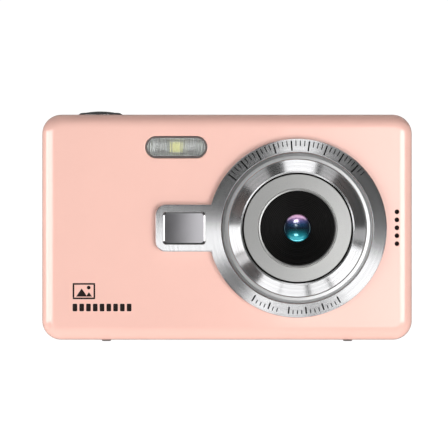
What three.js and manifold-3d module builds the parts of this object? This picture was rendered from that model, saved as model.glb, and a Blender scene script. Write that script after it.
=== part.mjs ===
// Compact digital camera with a fixed lens, built as the separate pieces it comes apart into.
// Millimetres. +X is the viewer's right when looking at the lens, -Y is the front, +Z is up.
// The origin is the middle of the footprint, on the surface that the camera stands on.
import * as THREE from "three";
import { mergeVertices } from "three/addons/utils/BufferGeometryUtils.js";
import Module from "manifold-3d";

const wasm = await Module();
wasm.setup();

// ---------------------------------------------------------------------------------------------
// Driving dimensions
// ---------------------------------------------------------------------------------------------

const BODY = { width: 100, height: 60.9, depth: 19, edge: 3.5, corner: 5.2, wall: 1.6 };
const FOOT_PROUD = 0.4; // the feet stand this far below the housing
const LENS_PROUD = 5; // the lens crest stands this far in front of the face
const KEY_PROUD = 0.4; // the rear keys stand this far behind the back
const FIT = 0.15; // gap round a cap in its hole
const SEAT = 0.05; // gap between faces that rest on each other

const ROUND = 36; // segments of a large turned piece
const SMALL_ROUND = 18; // segments of a small turned piece
const TINY_ROUND = 12; // segments of a screw, pin or stem

const BOTTOM_Z = FOOT_PROUD;
const TOP_Z = BOTTOM_Z + BODY.height;
const MIDDLE_Z = (BOTTOM_Z + TOP_Z) / 2;
const FACE_Y = (LENS_PROUD - BODY.depth - KEY_PROUD) / 2;
const CREST_Y = FACE_Y - LENS_PROUD;
const BACK_Y = FACE_Y + BODY.depth;
const SEAM_Y = FACE_Y + BODY.edge - 0.05; // parting plane between the two casing shells
const INNER = {
  x: BODY.width / 2 - BODY.wall,
  front: FACE_Y + BODY.wall,
  back: BACK_Y - BODY.wall,
  bottom: BOTTOM_Z + BODY.wall,
  top: TOP_Z - BODY.wall,
};
const CENTRE_Y = 2.4; // mid-depth plane of the housing, where ports, buttons and screws lie

const LENS = { x: 19, z: 30.6 };
const RING = { outer: 24.2, inner: 20.5, thick: 1.5 };
const TAB = { left: -19.3, height: 12.8, corner: 2.8 };
const BADGE = { x: -11.55, width: 11.5, height: 8.9, corner: 1 };
const CONE = { outer: 18.55, inner: 14.95, rise: 2.2 };
const BARREL = { outer: 12.6, bore: 11.2, flange: 14, snout: 8, cellBore: 6.4 };
const GLASS = { radius: 3.7, bore: 3.8 };

const FLASH = { x: -13.7, z: 52.5, width: 16.6, height: 5.8, rim: 0.45 };
const GRILLE = { x: 45.9, z: 30.7, pitch: 2.15, radius: 0.65, count: 5 };

const SHUTTER = { x: -34.4, radius: 4.35, bezel: 6.1, dome: 1.0 };
const POWER = { x: -18.5, radius: 2.6 };

const SCREEN = { x: 13, width: 66, height: 50.6, viewWidth: 58.4, viewHeight: 44 };
const KEY = { flange: 0.7, column: -34 };
const NAV = { z: 29.2, outer: 9.95, inner: 5.15, ok: 4.85, gap: 0.4 };
const ROCKER = { z: 52.6, width: 14.6, height: 4.8, pivotY: 9.0, pin: 0.5 };

const BATTERY = { x0: -29.8, x1: 1.2, y0: -2.4, y1: 2.9, z0: 3.0, z1: 46.8 };
const CHASSIS = { front: -3.4, back: -2.6, wall: 0.7 };
const BOARD = { front: 4.1, back: 5.1, bottom: 8.2, top: 53.2 };
const KEY_BOARD = { front: 7.0, back: 7.7, dome: 0.4 };

const DOOR = { x0: -30.6, x1: 1.8, y0: -2.9, y1: 7.9, thick: 1.5, pin: 0.35 };
const TRIPOD = { x: LENS.x, outer: 4.6, flange: 5.8, bore: 3.1, depth: 5.6, top: 7.2 };
const USB = { z: 44.6, width: 8.9, height: 3.2, depth: 7.2, wall: 0.35 };
const STRAP = { z: 44.6, height: 9, y0: 0.6, y1: 5.6, depth: 3.6, pin: 0.8 };
const FOOT = { x: 32.7, width: 2.5, y0: -3, y1: 7.6, sunk: 0.5 };
const SCREW = { head: 1.6, headHigh: 0.8, shank: 0.8, long: 5.1, bottomX: 40, sideZ: 16 };

// ---------------------------------------------------------------------------------------------
// Materials
// ---------------------------------------------------------------------------------------------

const material = (color, roughness, metalness) =>
  new THREE.MeshStandardMaterial({ color, roughness, metalness });

const PINK = material(0xffcfc3, 0.3, 0);
const BRUSHED = material(0xc9c9cb, 0.3, 1);
const SATIN = material(0xc4c4c4, 0.45, 1);
const CHROME = material(0xe0e0e2, 0.1, 1);
const STEEL = material(0xb4b6b8, 0.35, 1);
const BRASS = material(0xc8a860, 0.35, 1);
const MATT_BLACK = material(0x161618, 0.75, 0);
const GLOSS_BLACK = material(0x060608, 0.08, 0);
const DARK_GREY = material(0x55504e, 0.5, 0);
const CLEAR_GLASS = material(0x9fb8c8, 0.03, 0);
const FLASH_PLASTIC = material(0xd5d8d6, 0.15, 0);
const PHOSPHOR = material(0xe6e08a, 0.5, 0);
const BOARD_GREEN = material(0x1f5a3c, 0.5, 0);
const CHIP = material(0x202022, 0.5, 0);
const FILM = material(0xb8742c, 0.4, 0);
const CELL_WRAP = material(0x3b4250, 0.45, 0);
const RUBBER = material(0x6a6462, 0.85, 0);

// ---------------------------------------------------------------------------------------------
// Solids
// ---------------------------------------------------------------------------------------------

// A closed geometry as a manifold-3d solid, and back.
function solidOf(geometry) {
  const bare = new THREE.BufferGeometry();
  const source = geometry.index ? geometry.toNonIndexed() : geometry;
  bare.setAttribute("position", source.getAttribute("position").clone());
  const merged = mergeVertices(bare, 1e-4);
  return new wasm.Manifold(
    new wasm.Mesh({
      numProp: 3,
      vertProperties: merged.getAttribute("position").array,
      triVerts: new Uint32Array(merged.index.array),
    }),
  );
}

function geometryOf(solid) {
  const mesh = solid.getMesh();
  return new THREE.BufferGeometry()
    .setAttribute("position", new THREE.BufferAttribute(mesh.vertProperties, 3))
    .setIndex(new THREE.BufferAttribute(mesh.triVerts, 1));
}

const cut = (base, ...tools) =>
  geometryOf(tools.reduce((left, tool) => left.subtract(solidOf(tool)), solidOf(base)));

const join = (base, ...others) =>
  geometryOf(others.reduce((sum, other) => sum.add(solidOf(other)), solidOf(base)));

const common = (a, b) => geometryOf(solidOf(a).intersect(solidOf(b)));

function block(x0, x1, y0, y1, z0, z1) {
  const made = new THREE.BoxGeometry(x1 - x0, y1 - y0, z1 - z0);
  return made.translate((x0 + x1) / 2, (y0 + y1) / 2, (z0 + z1) / 2);
}

// A block given by its middle in X and Z and its range in Y.
const slab = (x, z, width, height, y0, y1) =>
  block(x - width / 2, x + width / 2, y0, y1, z - height / 2, z + height / 2);

// An outline drawn in X and Z, extruded from y0 to y1.
function prismY(shape, y0, y1, options = {}) {
  const made = new THREE.ExtrudeGeometry(shape, {
    depth: y1 - y0,
    bevelEnabled: false,
    curveSegments: 4,
    ...options,
  });
  return made.rotateX(Math.PI / 2).translate(0, y1, 0);
}

// An outline drawn in X and Y, extruded from z0 to z1.
function prismZ(shape, z0, z1, options = {}) {
  const made = new THREE.ExtrudeGeometry(shape, {
    depth: z1 - z0,
    bevelEnabled: false,
    curveSegments: 4,
    ...options,
  });
  return made.translate(0, 0, z0);
}

// An outline drawn in Y and Z, extruded from x0 to x1.
function prismX(shape, x0, x1) {
  const turn = new THREE.Matrix4().makeBasis(
    new THREE.Vector3(0, 1, 0),
    new THREE.Vector3(0, 0, 1),
    new THREE.Vector3(1, 0, 0),
  );
  const made = new THREE.ExtrudeGeometry(shape, {
    depth: x1 - x0,
    bevelEnabled: false,
    curveSegments: 4,
  });
  return made.applyMatrix4(turn).translate(x0, 0, 0);
}

// A profile of [radius, height] points turned about the Y axis. A profile that doesn't start and
// end on the axis closes on itself.
function turned(profile, segments) {
  const points = profile.map(([radius, height]) => new THREE.Vector2(radius, height));
  if (THREE.ShapeUtils.area(points) < 0) points.reverse();
  const onAxis = points.filter((p) => p.x === 0).length >= 2;
  if (onAxis) {
    while (points[0].x !== 0 || points[points.length - 1].x !== 0) points.push(points.shift());
  } else {
    points.push(points[0].clone());
  }
  return new THREE.LatheGeometry(points, segments);
}

// Heights of the profile are Y, about the axis through (x, z).
const turnedY = (profile, x, z, segments = ROUND) => turned(profile, segments).translate(x, 0, z);

// Heights of the profile are Z, about the axis through (x, y).
const turnedZ = (profile, x, y, segments = SMALL_ROUND) =>
  turned(profile, segments)
    .rotateX(Math.PI / 2)
    .translate(x, y, 0);

const rod = (radius, h0, h1) => [
  [0, h0],
  [radius, h0],
  [radius, h1],
  [0, h1],
];

const tube = (outer, inner, h0, h1) => [
  [inner, h0],
  [outer, h0],
  [outer, h1],
  [inner, h1],
];

function roundedRect(width, height, radius, x = 0, y = 0) {
  const w = width / 2;
  const h = height / 2;
  const shape = new THREE.Shape();
  shape.absarc(x + w - radius, y + h - radius, radius, 0, Math.PI / 2);
  shape.absarc(x - w + radius, y + h - radius, radius, Math.PI / 2, Math.PI);
  shape.absarc(x - w + radius, y - h + radius, radius, Math.PI, 1.5 * Math.PI);
  shape.absarc(x + w - radius, y - h + radius, radius, 1.5 * Math.PI, 2 * Math.PI);
  shape.closePath();
  return shape;
}

// A pill is two half circles and the straight sides between them, lying or standing.
function pill(width, height, x = 0, y = 0) {
  const radius = Math.min(width, height) / 2;
  const [reachX, reachY] = [width / 2 - radius, height / 2 - radius];
  const turn = reachY > 0 ? Math.PI / 2 : 0;
  const shape = new THREE.Shape();
  shape.absarc(x + reachX, y + reachY, radius, turn - Math.PI / 2, turn + Math.PI / 2);
  shape.absarc(x - reachX, y - reachY, radius, turn + Math.PI / 2, turn + 1.5 * Math.PI);
  shape.closePath();
  return shape;
}

// ---------------------------------------------------------------------------------------------
// Assembly
// ---------------------------------------------------------------------------------------------

const camera = new THREE.Group();

function add(name, geometry, finish) {
  const mesh = new THREE.Mesh(geometry, finish);
  mesh.name = name;
  camera.add(mesh);
}

// The outer form of the casing, inset on every side: a rounded rectangle with rounded edges.
function pillow(inset) {
  const edge = BODY.edge - inset;
  const width = BODY.width - 2 * inset;
  const height = BODY.height - 2 * inset;
  const depth = BODY.depth - 2 * inset;
  const corner = BODY.corner - inset - edge;
  const outline = roundedRect(width - 2 * edge, height - 2 * edge, corner, 0, MIDDLE_Z);
  const bevel = {
    bevelEnabled: true,
    bevelThickness: edge,
    bevelSize: edge,
    bevelSegments: inset > 0 ? 2 : 3,
    curveSegments: 2,
  };
  const y0 = FACE_Y + inset + edge;
  return prismY(outline, y0, y0 + depth - 2 * edge, bevel);
}

const halfSpace = (y0, y1) => block(-60, 60, y0, y1, -10, 80);

const keyHole = (outline) => prismY(outline, INNER.back - 0.5, BACK_Y + 1);

// ---- Casing ---------------------------------------------------------------------------------

function frontCover() {
  const shell = common(cut(pillow(0), pillow(BODY.wall)), halfSpace(-20, SEAM_Y - SEAT));
  const lensHole = turnedY(rod(BARREL.outer + 0.3, FACE_Y - 1, INNER.front + 1), LENS.x, LENS.z);
  const flashHole = prismY(
    pill(FLASH.width + 0.2, FLASH.height + 0.2, FLASH.x, FLASH.z),
    FACE_Y - 1,
    INNER.front + 1,
  );
  const grille = [];
  for (let i = 0; i < GRILLE.count; i++) {
    const z = GRILLE.z + (i - (GRILLE.count - 1) / 2) * GRILLE.pitch;
    grille.push(turnedY(rod(GRILLE.radius, FACE_Y - 1, INNER.front + 1), GRILLE.x, z, 12));
  }
  return cut(shell, lensHole, flashHole, ...grille);
}

const rockerLug = (z) =>
  block(
    KEY.column - 1.4,
    KEY.column + 1.4,
    ROCKER.pivotY - 1,
    INNER.back + 0.5,
    z - 0.75,
    z + 0.75,
  );

function rearHousing() {
  const shell = common(cut(pillow(0), pillow(BODY.wall)), halfSpace(SEAM_Y + SEAT, 20));
  const strapBlock = block(
    -INNER.x - 0.5,
    -BODY.width / 2 + STRAP.depth + 1,
    STRAP.y0 - 1,
    STRAP.y1 + 1,
    STRAP.z - STRAP.height / 2 - 1.4,
    STRAP.z + STRAP.height / 2 + 1.4,
  );
  const lugs = [ROCKER.z - 3.45, ROCKER.z + 3.45].map(rockerLug);
  const body = join(shell, strapBlock, ...lugs);
  return cut(body, ...rearOpenings(), ...sideOpenings(), ...topOpenings(), ...bottomOpenings());
}

function rearOpenings() {
  const recess = roundedRect(SCREEN.width + 0.3, SCREEN.height + 0.3, 1.6, SCREEN.x, MIDDLE_Z);
  const view = roundedRect(SCREEN.viewWidth, SCREEN.viewHeight, 0.8, SCREEN.x, MIDDLE_Z);
  const holes = [
    prismY(recess, BACK_Y - 1, BACK_Y + 1),
    prismY(view, INNER.back - 0.5, BACK_Y),
    turnedY(rod(NAV.outer + FIT, INNER.back - 0.5, BACK_Y + 1), KEY.column, NAV.z, 48),
    keyHole(pill(ROCKER.width + 4 * FIT, ROCKER.height + 2 * FIT, KEY.column, ROCKER.z)),
    turnedZ(rod(ROCKER.pin + 0.08, ROCKER.z - 5, ROCKER.z + 5), KEY.column, ROCKER.pivotY),
  ];
  for (const { x, z } of SMALL_KEYS) {
    holes.push(keyHole(pill(SMALL_KEY.width + 2 * FIT, SMALL_KEY.height + 2 * FIT, x, z)));
  }
  return holes;
}

function sideOpenings() {
  const wide = BODY.width / 2;
  const strapPocket = block(
    -wide - 1,
    -wide + STRAP.depth,
    STRAP.y0,
    STRAP.y1,
    STRAP.z - STRAP.height / 2,
    STRAP.z + STRAP.height / 2,
  );
  const strapBore = turnedZ(
    rod(STRAP.pin + 0.08, STRAP.z - STRAP.height / 2 - 1, STRAP.z + STRAP.height / 2 + 1),
    -wide + 1.6,
    (STRAP.y0 + STRAP.y1) / 2,
  );
  const usbSlot = prismX(
    pill(USB.height + 0.3, USB.width + 0.3, 0, 0),
    wide - BODY.wall - 1,
    wide + 1,
  );
  const screwHoles = [-1, 1].map((side) => screwHole().rotateY((side * Math.PI) / 2));
  screwHoles[0].translate(-wide, CENTRE_Y, SCREW.sideZ);
  screwHoles[1].translate(wide, CENTRE_Y, SCREW.sideZ);
  return [strapPocket, strapBore, usbSlot.translate(0, CENTRE_Y, USB.z), ...screwHoles];
}

function topOpenings() {
  const through = (radius, x) =>
    turnedZ(rod(radius, INNER.top - 1, TOP_Z + 1), x, CENTRE_Y);
  return [
    through(SHUTTER.radius + FIT, SHUTTER.x),
    through(POWER.radius + FIT, POWER.x),
    turnedZ(rod(MICROPHONE.hole, INNER.top - 1, TOP_Z + 1), MICROPHONE.x, CENTRE_Y, 12),
  ];
}

function bottomOpenings() {
  const doorway = block(DOOR.x0 - FIT, DOOR.x1 + FIT, DOOR.y0 - FIT, DOOR.y1 + FIT, -1, 3);
  const pinBore = turnedY(
    rod(DOOR.pin + 0.08, DOOR.y0 - 0.75, DOOR.y1 + 1),
    hinge.x,
    hinge.z,
    SMALL_ROUND,
  );
  const tripodHole = turnedZ(rod(TRIPOD.outer + 0.15, -1, 3), TRIPOD.x, CENTRE_Y, 24);
  const feet = [-FOOT.x, FOOT.x].map((x) => {
    const middle = (FOOT.y0 + FOOT.y1) / 2;
    const outline = pill(FOOT.y1 - FOOT.y0 + 0.2, FOOT.width + 0.2, 0, 0);
    const pocket = prismZ(outline, -1, BOTTOM_Z + FOOT.sunk).rotateZ(Math.PI / 2);
    return pocket.translate(x, middle, 0);
  });
  const screws = [-SCREW.bottomX, SCREW.bottomX].map((x) =>
    screwHole().rotateX(Math.PI).translate(x, CENTRE_Y, BOTTOM_Z),
  );
  return [doorway, pinBore, tripodHole, ...feet, ...screws];
}

// ---- Screws ---------------------------------------------------------------------------------

// A countersunk way in for a case screw whose head faces +Z and whose rim is at z = 0.
const screwHole = () =>
  turnedZ(
    [
      [0, 1],
      [SCREW.head + 0.2, 1],
      [SCREW.head + 0.2, -1],
      [SCREW.shank + 0.2, -1],
      [SCREW.shank + 0.2, -3],
      [0, -3],
    ],
    0,
    0,
    TINY_ROUND,
  );

// A pan-head cross-recess screw, head up, with its head's top just under z = 0.
function screw() {
  const top = -0.1;
  const under = top - SCREW.headHigh;
  const body = turnedZ(
    [
      [0, top],
      [SCREW.head - 0.3, top],
      [SCREW.head, top - 0.25],
      [SCREW.head, under],
      [SCREW.shank, under],
      [SCREW.shank, under - SCREW.long + 0.5],
      [SCREW.shank - 0.4, under - SCREW.long],
      [0, under - SCREW.long],
    ],
    0,
    0,
    TINY_ROUND,
  );
  const arm = (width, long) => block(-width, width, -long, long, top - 0.4, 1);
  return cut(body, arm(0.2, 1), arm(1, 0.2));
}

// A clearance hole in the chassis for a screw in the same pose.
const screwBore = () =>
  turnedZ(rod(SCREW.shank + 0.15, -SCREW.long - 1.4, -1), 0, 0, TINY_ROUND);

// The four places of the case screws, each as a function that puts a head-up shape there.
const SCREW_PLACES = {
  screw_bottom_left: (shape) =>
    shape.rotateX(Math.PI).translate(-SCREW.bottomX, CENTRE_Y, BOTTOM_Z),
  screw_bottom_right: (shape) =>
    shape.rotateX(Math.PI).translate(SCREW.bottomX, CENTRE_Y, BOTTOM_Z),
  screw_side_left: (shape) =>
    shape.rotateY(-Math.PI / 2).translate(-BODY.width / 2, CENTRE_Y, SCREW.sideZ),
  screw_side_right: (shape) =>
    shape.rotateY(Math.PI / 2).translate(BODY.width / 2, CENTRE_Y, SCREW.sideZ),
};

// ---- Chassis --------------------------------------------------------------------------------

// The inner frame: a plate behind the front cover, the battery box and the screw lugs.
function chassis() {
  const { front, back, wall } = CHASSIS;
  const gap = 0.2;
  const plate = block(-45.8, 45.8, front, back, INNER.bottom + 0.4, 57);
  const outerBox = block(
    BATTERY.x0 - gap - wall,
    BATTERY.x1 + gap + wall,
    front,
    BATTERY.y1 + gap + wall,
    INNER.bottom + 0.6,
    BATTERY.z1 + gap + wall,
  );
  const batteryRoom = block(
    BATTERY.x0 - gap,
    BATTERY.x1 + gap,
    BATTERY.y0 - 0.15,
    BATTERY.y1 + gap,
    0,
    BATTERY.z1 + gap,
  );
  const contactSlot = block(CONTACT.x0 + 0.6, CONTACT.x1 - 0.6, -1.2, 1.7, BATTERY.z1, 60);
  const lug = (x0, x1, z0, z1) => block(x0, x1, front, BOARD.front - 0.2, z0, z1);
  const lugs = [
    lug(-SCREW.bottomX - 2.2, -SCREW.bottomX + 2.2, INNER.bottom + 0.3, 7.6),
    lug(SCREW.bottomX - 2.2, SCREW.bottomX + 2.2, INNER.bottom + 0.3, 7.6),
    lug(-INNER.x + 0.2, -43.2, SCREW.sideZ - 2.2, SCREW.sideZ + 2.2),
    lug(43.2, INNER.x - 0.2, SCREW.sideZ - 2.2, SCREW.sideZ + 2.2),
  ];
  const lensHole = turnedY(rod(BARREL.snout + 0.3, front - 1, back + 1), LENS.x, LENS.z);
  const flashNotch = slab(FLASH.x, 60, FLASH.width + 1, 22, front - 1, back + 1);
  const bushNotch = slab(TRIPOD.x, 0, 2 * TRIPOD.flange + 1, 7.4, front - 1, back + 1);
  const speakerNotch = block(43.1, 47, front - 1, back + 1, 21.8, 39.2);
  const bores = Object.values(SCREW_PLACES).map((place) => place(screwBore()));
  const frame = join(plate, outerBox, ...lugs);
  const notches = [flashNotch, bushNotch, speakerNotch];
  return cut(frame, batteryRoom, contactSlot, lensHole, ...notches, ...bores);
}

// ---- Lens -----------------------------------------------------------------------------------

// The brushed trim: a flat ring round the lens with a tab that frames the badge.
function ringPlate() {
  const [front, back] = [FACE_Y - SEAT - RING.thick, FACE_Y - SEAT];
  const reach = LENS.x - TAB.left;
  const tab = roundedRect(reach, TAB.height, TAB.corner, TAB.left + reach / 2, LENS.z);
  const ring = turnedY(rod(RING.outer, front, back), LENS.x, LENS.z, 48);
  const bore = turnedY(rod(RING.inner, front - 1, back + 1), LENS.x, LENS.z, 48);
  const window = roundedRect(BADGE.width, BADGE.height, BADGE.corner, BADGE.x, LENS.z);
  const cornered = { curveSegments: 2 };
  return cut(
    join(ring, prismY(tab, front, back, cornered)),
    bore,
    prismY(window, front - 1, back + 1, cornered),
  );
}

function badge() {
  const outline = roundedRect(
    BADGE.width - 1.1,
    BADGE.height - 1.1,
    BADGE.corner - 0.5,
    BADGE.x,
    LENS.z,
  );
  const bevel = {
    bevelEnabled: true,
    bevelThickness: 0.4,
    bevelSize: 0.4,
    bevelSegments: 1,
    curveSegments: 2,
  };
  return prismY(outline, FACE_Y - SEAT - 0.8, FACE_Y - SEAT - 0.4, bevel);
}

function lensRings() {
  const seat = FACE_Y - SEAT;
  const step = FACE_Y - CONE.rise - 0.1;
  add(
    "lens_step_ring",
    turnedY(
      [
        [18.7, seat],
        [20.35, seat],
        [20.35, FACE_Y - 1.4],
        [19.4, step],
        [18.7, step],
      ],
      LENS.x,
      LENS.z,
    ),
    SATIN,
  );
  add(
    "lens_cone_ring",
    turnedY(
      [
        [CONE.inner, seat],
        [CONE.outer, seat],
        [CONE.outer, FACE_Y - CONE.rise],
        [CONE.inner + 0.5, CREST_Y],
        [CONE.inner, CREST_Y + 0.2],
      ],
      LENS.x,
      LENS.z,
    ),
    BRUSHED,
  );
  add(
    "lens_face_ring",
    turnedY(
      [
        [10.4, CREST_Y + 1.9],
        [CONE.inner - 0.15, CREST_Y + 1.9],
        [CONE.inner - 0.15, CREST_Y + 0.5],
        [10.7, CREST_Y + 0.5],
        [10.4, CREST_Y + 0.8],
      ],
      LENS.x,
      LENS.z,
    ),
    SATIN,
  );
}

// The black light baffle: a stepped cone that narrows to the front glass.
function baffle() {
  const rim = CREST_Y + 0.6;
  const floor = rim + 4.3;
  const steps = 4;
  const profile = [
    [10.25, rim],
    [10.25, rim + 1.5],
    [4.9, floor + 0.9],
    [GLASS.radius + 0.15, floor + 0.9],
  ];
  for (let i = 0; i < steps; i++) {
    const share = i / steps;
    const radius = GLASS.radius + 0.15 + (9.8 - GLASS.radius) * share;
    profile.push([radius, floor - (floor - rim) * share]);
    profile.push([radius, floor - (floor - rim) * (share + 1 / steps)]);
  }
  return turnedY(profile, LENS.x, LENS.z, 28);
}

function barrel() {
  const front = CREST_Y + 2;
  const flange = INNER.front + 0.1;
  return turnedY(
    [
      [BARREL.bore, front],
      [BARREL.outer, front],
      [BARREL.outer, flange],
      [BARREL.flange, flange],
      [BARREL.flange, CHASSIS.front - 0.1],
      [BARREL.snout, CHASSIS.front - 0.1],
      [BARREL.snout, 1],
      [BARREL.cellBore, 1],
      [BARREL.cellBore, -6],
      [BARREL.bore, -9.3],
    ],
    LENS.x,
    LENS.z,
  );
}

// The tube that holds the glass, with the aperture stop inside it.
function lensCell() {
  const outer = BARREL.cellBore - 0.15;
  return turnedY(
    [
      [GLASS.bore, -6.3],
      [outer, -6.3],
      [outer, 1.2],
      [GLASS.bore, 1.2],
      [GLASS.bore, -4.5],
      [1.5, -4.65],
      [1.5, -4.75],
      [GLASS.bore, -4.9],
    ],
    LENS.x,
    LENS.z,
    28,
  );
}

// A round lens with one curved face: its edge runs from y0 to y1, and bulges past each by a sag.
function glass(y0, y1, frontSag, backSag) {
  const radius = GLASS.radius;
  const arc = 3;
  const profile = [];
  for (let i = 0; i <= arc; i++) {
    const angle = (i / arc) * (Math.PI / 2);
    profile.push([radius * Math.sin(angle), y0 - frontSag * Math.cos(angle)]);
  }
  for (let i = arc; i >= 0; i--) {
    const angle = (i / arc) * (Math.PI / 2);
    profile.push([radius * Math.sin(angle), y1 + backSag * Math.cos(angle)]);
  }
  return turnedY(profile, LENS.x, LENS.z, SMALL_ROUND);
}

function sensorStack() {
  const { x, z } = LENS;
  const holder = cut(
    slab(x, z, 17, 17, 1.7, BOARD.front - SEAT),
    slab(x, z, 8.6, 8.6, 0, BOARD.front + 1),
  );
  add("sensor_holder", holder, MATT_BLACK);
  add("ir_filter", slab(x, z, 8.2, 8.2, 1.85, 2.25), CLEAR_GLASS);
  add("image_sensor", slab(x, z, 8, 6.8, 2.95, BOARD.front - SEAT), CHIP);
}

// ---- Flash and speaker ----------------------------------------------------------------------

function flash() {
  const { x, z, width, height, rim } = FLASH;
  const outer = pill(width, height, x, z);
  const inner = pill(width - 2 * rim, height - 2 * rim, x, z);
  const windowOutline = pill(width - 2 * rim - 0.1, height - 2 * rim - 0.1, x, z);
  const front = FACE_Y + 0.1;
  add("flash_bezel", cut(prismY(outer, front, -5.7), prismY(inner, -9, -5)), DARK_GREY);
  add("flash_window", prismY(windowOutline, front + 0.1, -6.1), FLASH_PLASTIC);
  const tray = cut(
    slab(x, z, 15.4, 4.8, INNER.front + SEAT, CHASSIS.front - 0.15),
    slab(x, z, 14.6, 4, -7, -4.3),
    slab(x, z, 4, 3.9, -7, 0),
  );
  add("flash_reflector", tray, CHROME);
  const emitter = slab(x, z, 3.5, 3.5, -4.6, -3.3);
  add("flash_led", join(slab(x, z, 16, 6.6, CHASSIS.front, -2.7), emitter), PHOSPHOR);
}

function speaker() {
  const frame = block(43.5, 46.8, -5.2, -3.7, 22.4, 38.6);
  const magnet = block(44.2, 46.1, -3.8, -3.1, 25.5, 35.5);
  return join(frame, magnet);
}

// ---- Top controls ---------------------------------------------------------------------------

const MICROPHONE = { x: -5, hole: 0.5 };

// Heights where a top button's parts change width, shared by the shutter and power buttons.
const TOP_FLANGE = { under: INNER.top - 0.9, over: INNER.top - 0.3 };
const STEM_FOOT = 57.9;

function shutterBezel() {
  return turnedZ(
    [
      [SHUTTER.radius + FIT, TOP_Z + SEAT],
      [SHUTTER.bezel, TOP_Z + SEAT],
      [SHUTTER.bezel - 0.9, TOP_Z + 0.5],
      [SHUTTER.radius + 0.45, TOP_Z + 0.62],
      [SHUTTER.radius + FIT, TOP_Z + 0.5],
    ],
    SHUTTER.x,
    CENTRE_Y,
    ROUND,
  );
}

function shutterButton() {
  const { radius, dome } = SHUTTER;
  const shoulder = TOP_Z + 0.45;
  const profile = [
    [0, STEM_FOOT],
    [1.2, STEM_FOOT],
    [1.2, TOP_FLANGE.under],
    [radius + 0.9, TOP_FLANGE.under],
    [radius + 0.9, TOP_FLANGE.over],
    [radius, TOP_FLANGE.over],
    [radius, shoulder],
  ];
  for (let i = 1; i <= 4; i++) {
    const angle = (i / 4) * (Math.PI / 2);
    profile.push([radius * Math.cos(angle), shoulder + (dome - 0.45) * Math.sin(angle)]);
  }
  profile[profile.length - 1][0] = 0;
  return turnedZ(profile, SHUTTER.x, CENTRE_Y, 28);
}

function powerButton() {
  const { radius } = POWER;
  return turnedZ(
    [
      [0, STEM_FOOT - 0.1],
      [1, STEM_FOOT - 0.1],
      [1, TOP_FLANGE.under],
      [radius + 0.8, TOP_FLANGE.under],
      [radius + 0.8, TOP_FLANGE.over],
      [radius, TOP_FLANGE.over],
      [radius, TOP_Z - 0.3],
      [radius - 0.25, TOP_Z - 0.1],
      [0, TOP_Z - 0.1],
    ],
    POWER.x,
    CENTRE_Y,
  );
}

const TOP_BOARD = { bottom: 54, top: 54.8 };

// A round-wire compression spring that stands on the switch board round the shutter switch.
function shutterSpring() {
  const wire = 0.22;
  const mean = 3.9;
  const turns = 3.5;
  const low = TOP_BOARD.top + wire + SEAT;
  const high = TOP_FLANGE.under - wire - SEAT;
  class Helix extends THREE.Curve {
    getPoint(t) {
      const angle = t * turns * 2 * Math.PI;
      return new THREE.Vector3(
        SHUTTER.x + mean * Math.cos(angle),
        CENTRE_Y + mean * Math.sin(angle),
        low + t * (high - low),
      );
    }
  }
  const section = new THREE.Shape().absarc(0, 0, wire, 0, 2 * Math.PI);
  return new THREE.ExtrudeGeometry(section, {
    extrudePath: new Helix(),
    steps: 40,
    curveSegments: 2,
    bevelEnabled: false,
  });
}

function switchBoard() {
  const board = block(-43, -14.5, -2.2, 6.9, TOP_BOARD.bottom, TOP_BOARD.top);
  const parts = [SHUTTER.x, POWER.x].flatMap((x) => [
    block(x - 2.5, x + 2.5, CENTRE_Y - 2.5, CENTRE_Y + 2.5, TOP_BOARD.top - 0.1, 56.6),
    turnedZ(rod(1.1, 56.5, 57.2), x, CENTRE_Y, 12),
  ]);
  return join(board, ...parts);
}

// ---- Rear controls --------------------------------------------------------------------------

const SMALL_KEY = { width: 8, height: 4.2 };
const KEY_SPREAD = 6.2;
const SMALL_KEYS = [
  { name: "mode_button", x: KEY.column - KEY_SPREAD, z: 43.8 },
  { name: "menu_button", x: KEY.column + KEY_SPREAD, z: 43.8 },
  { name: "play_button", x: KEY.column - KEY_SPREAD, z: 13.8 },
  { name: "delete_button", x: KEY.column + KEY_SPREAD, z: 13.8 },
];
const FLANGE_Y = { front: INNER.back - 0.85, back: INNER.back - 0.3 };
const KEY_STEM_Y = KEY_BOARD.back + KEY_BOARD.dome + 0.4;
const KEY_TOP_Y = BACK_Y + KEY_PROUD;

// A cap with a rounded rim, a wider flange behind the wall and a stem to its dome switch.
function key(cap, flange, stemX, stemZ) {
  const bevel = { bevelEnabled: true, bevelThickness: 0.25, bevelSize: 0.2, bevelSegments: 1 };
  const crown = prismY(cap, FLANGE_Y.back - 0.2, KEY_TOP_Y - 0.25, bevel);
  const plate = prismY(flange, FLANGE_Y.front, FLANGE_Y.back);
  const stem = turnedY(rod(0.9, KEY_STEM_Y, FLANGE_Y.front + 0.1), stemX, stemZ, 12);
  return join(crown, plate, stem);
}

function smallKeys() {
  const { width, height } = SMALL_KEY;
  for (const { name, x, z } of SMALL_KEYS) {
    const cap = pill(width - 0.4, height - 0.4, x, z);
    const flange = pill(width + 2 * KEY.flange, height + 2 * KEY.flange, x, z);
    add(name, key(cap, flange, x, z), SATIN);
  }
}

// A sector of a ring round the navigation centre, with parallel gaps between neighbours.
function sector(middle, inner, outer, gap) {
  const spread = (radius) => Math.PI / 4 - Math.asin(gap / 2 / radius);
  const shape = new THREE.Shape();
  const [x, z] = [KEY.column, NAV.z];
  shape.absarc(x, z, outer, middle - spread(outer), middle + spread(outer), false);
  shape.absarc(x, z, inner, middle + spread(inner), middle - spread(inner), true);
  shape.closePath();
  return shape;
}

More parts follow.
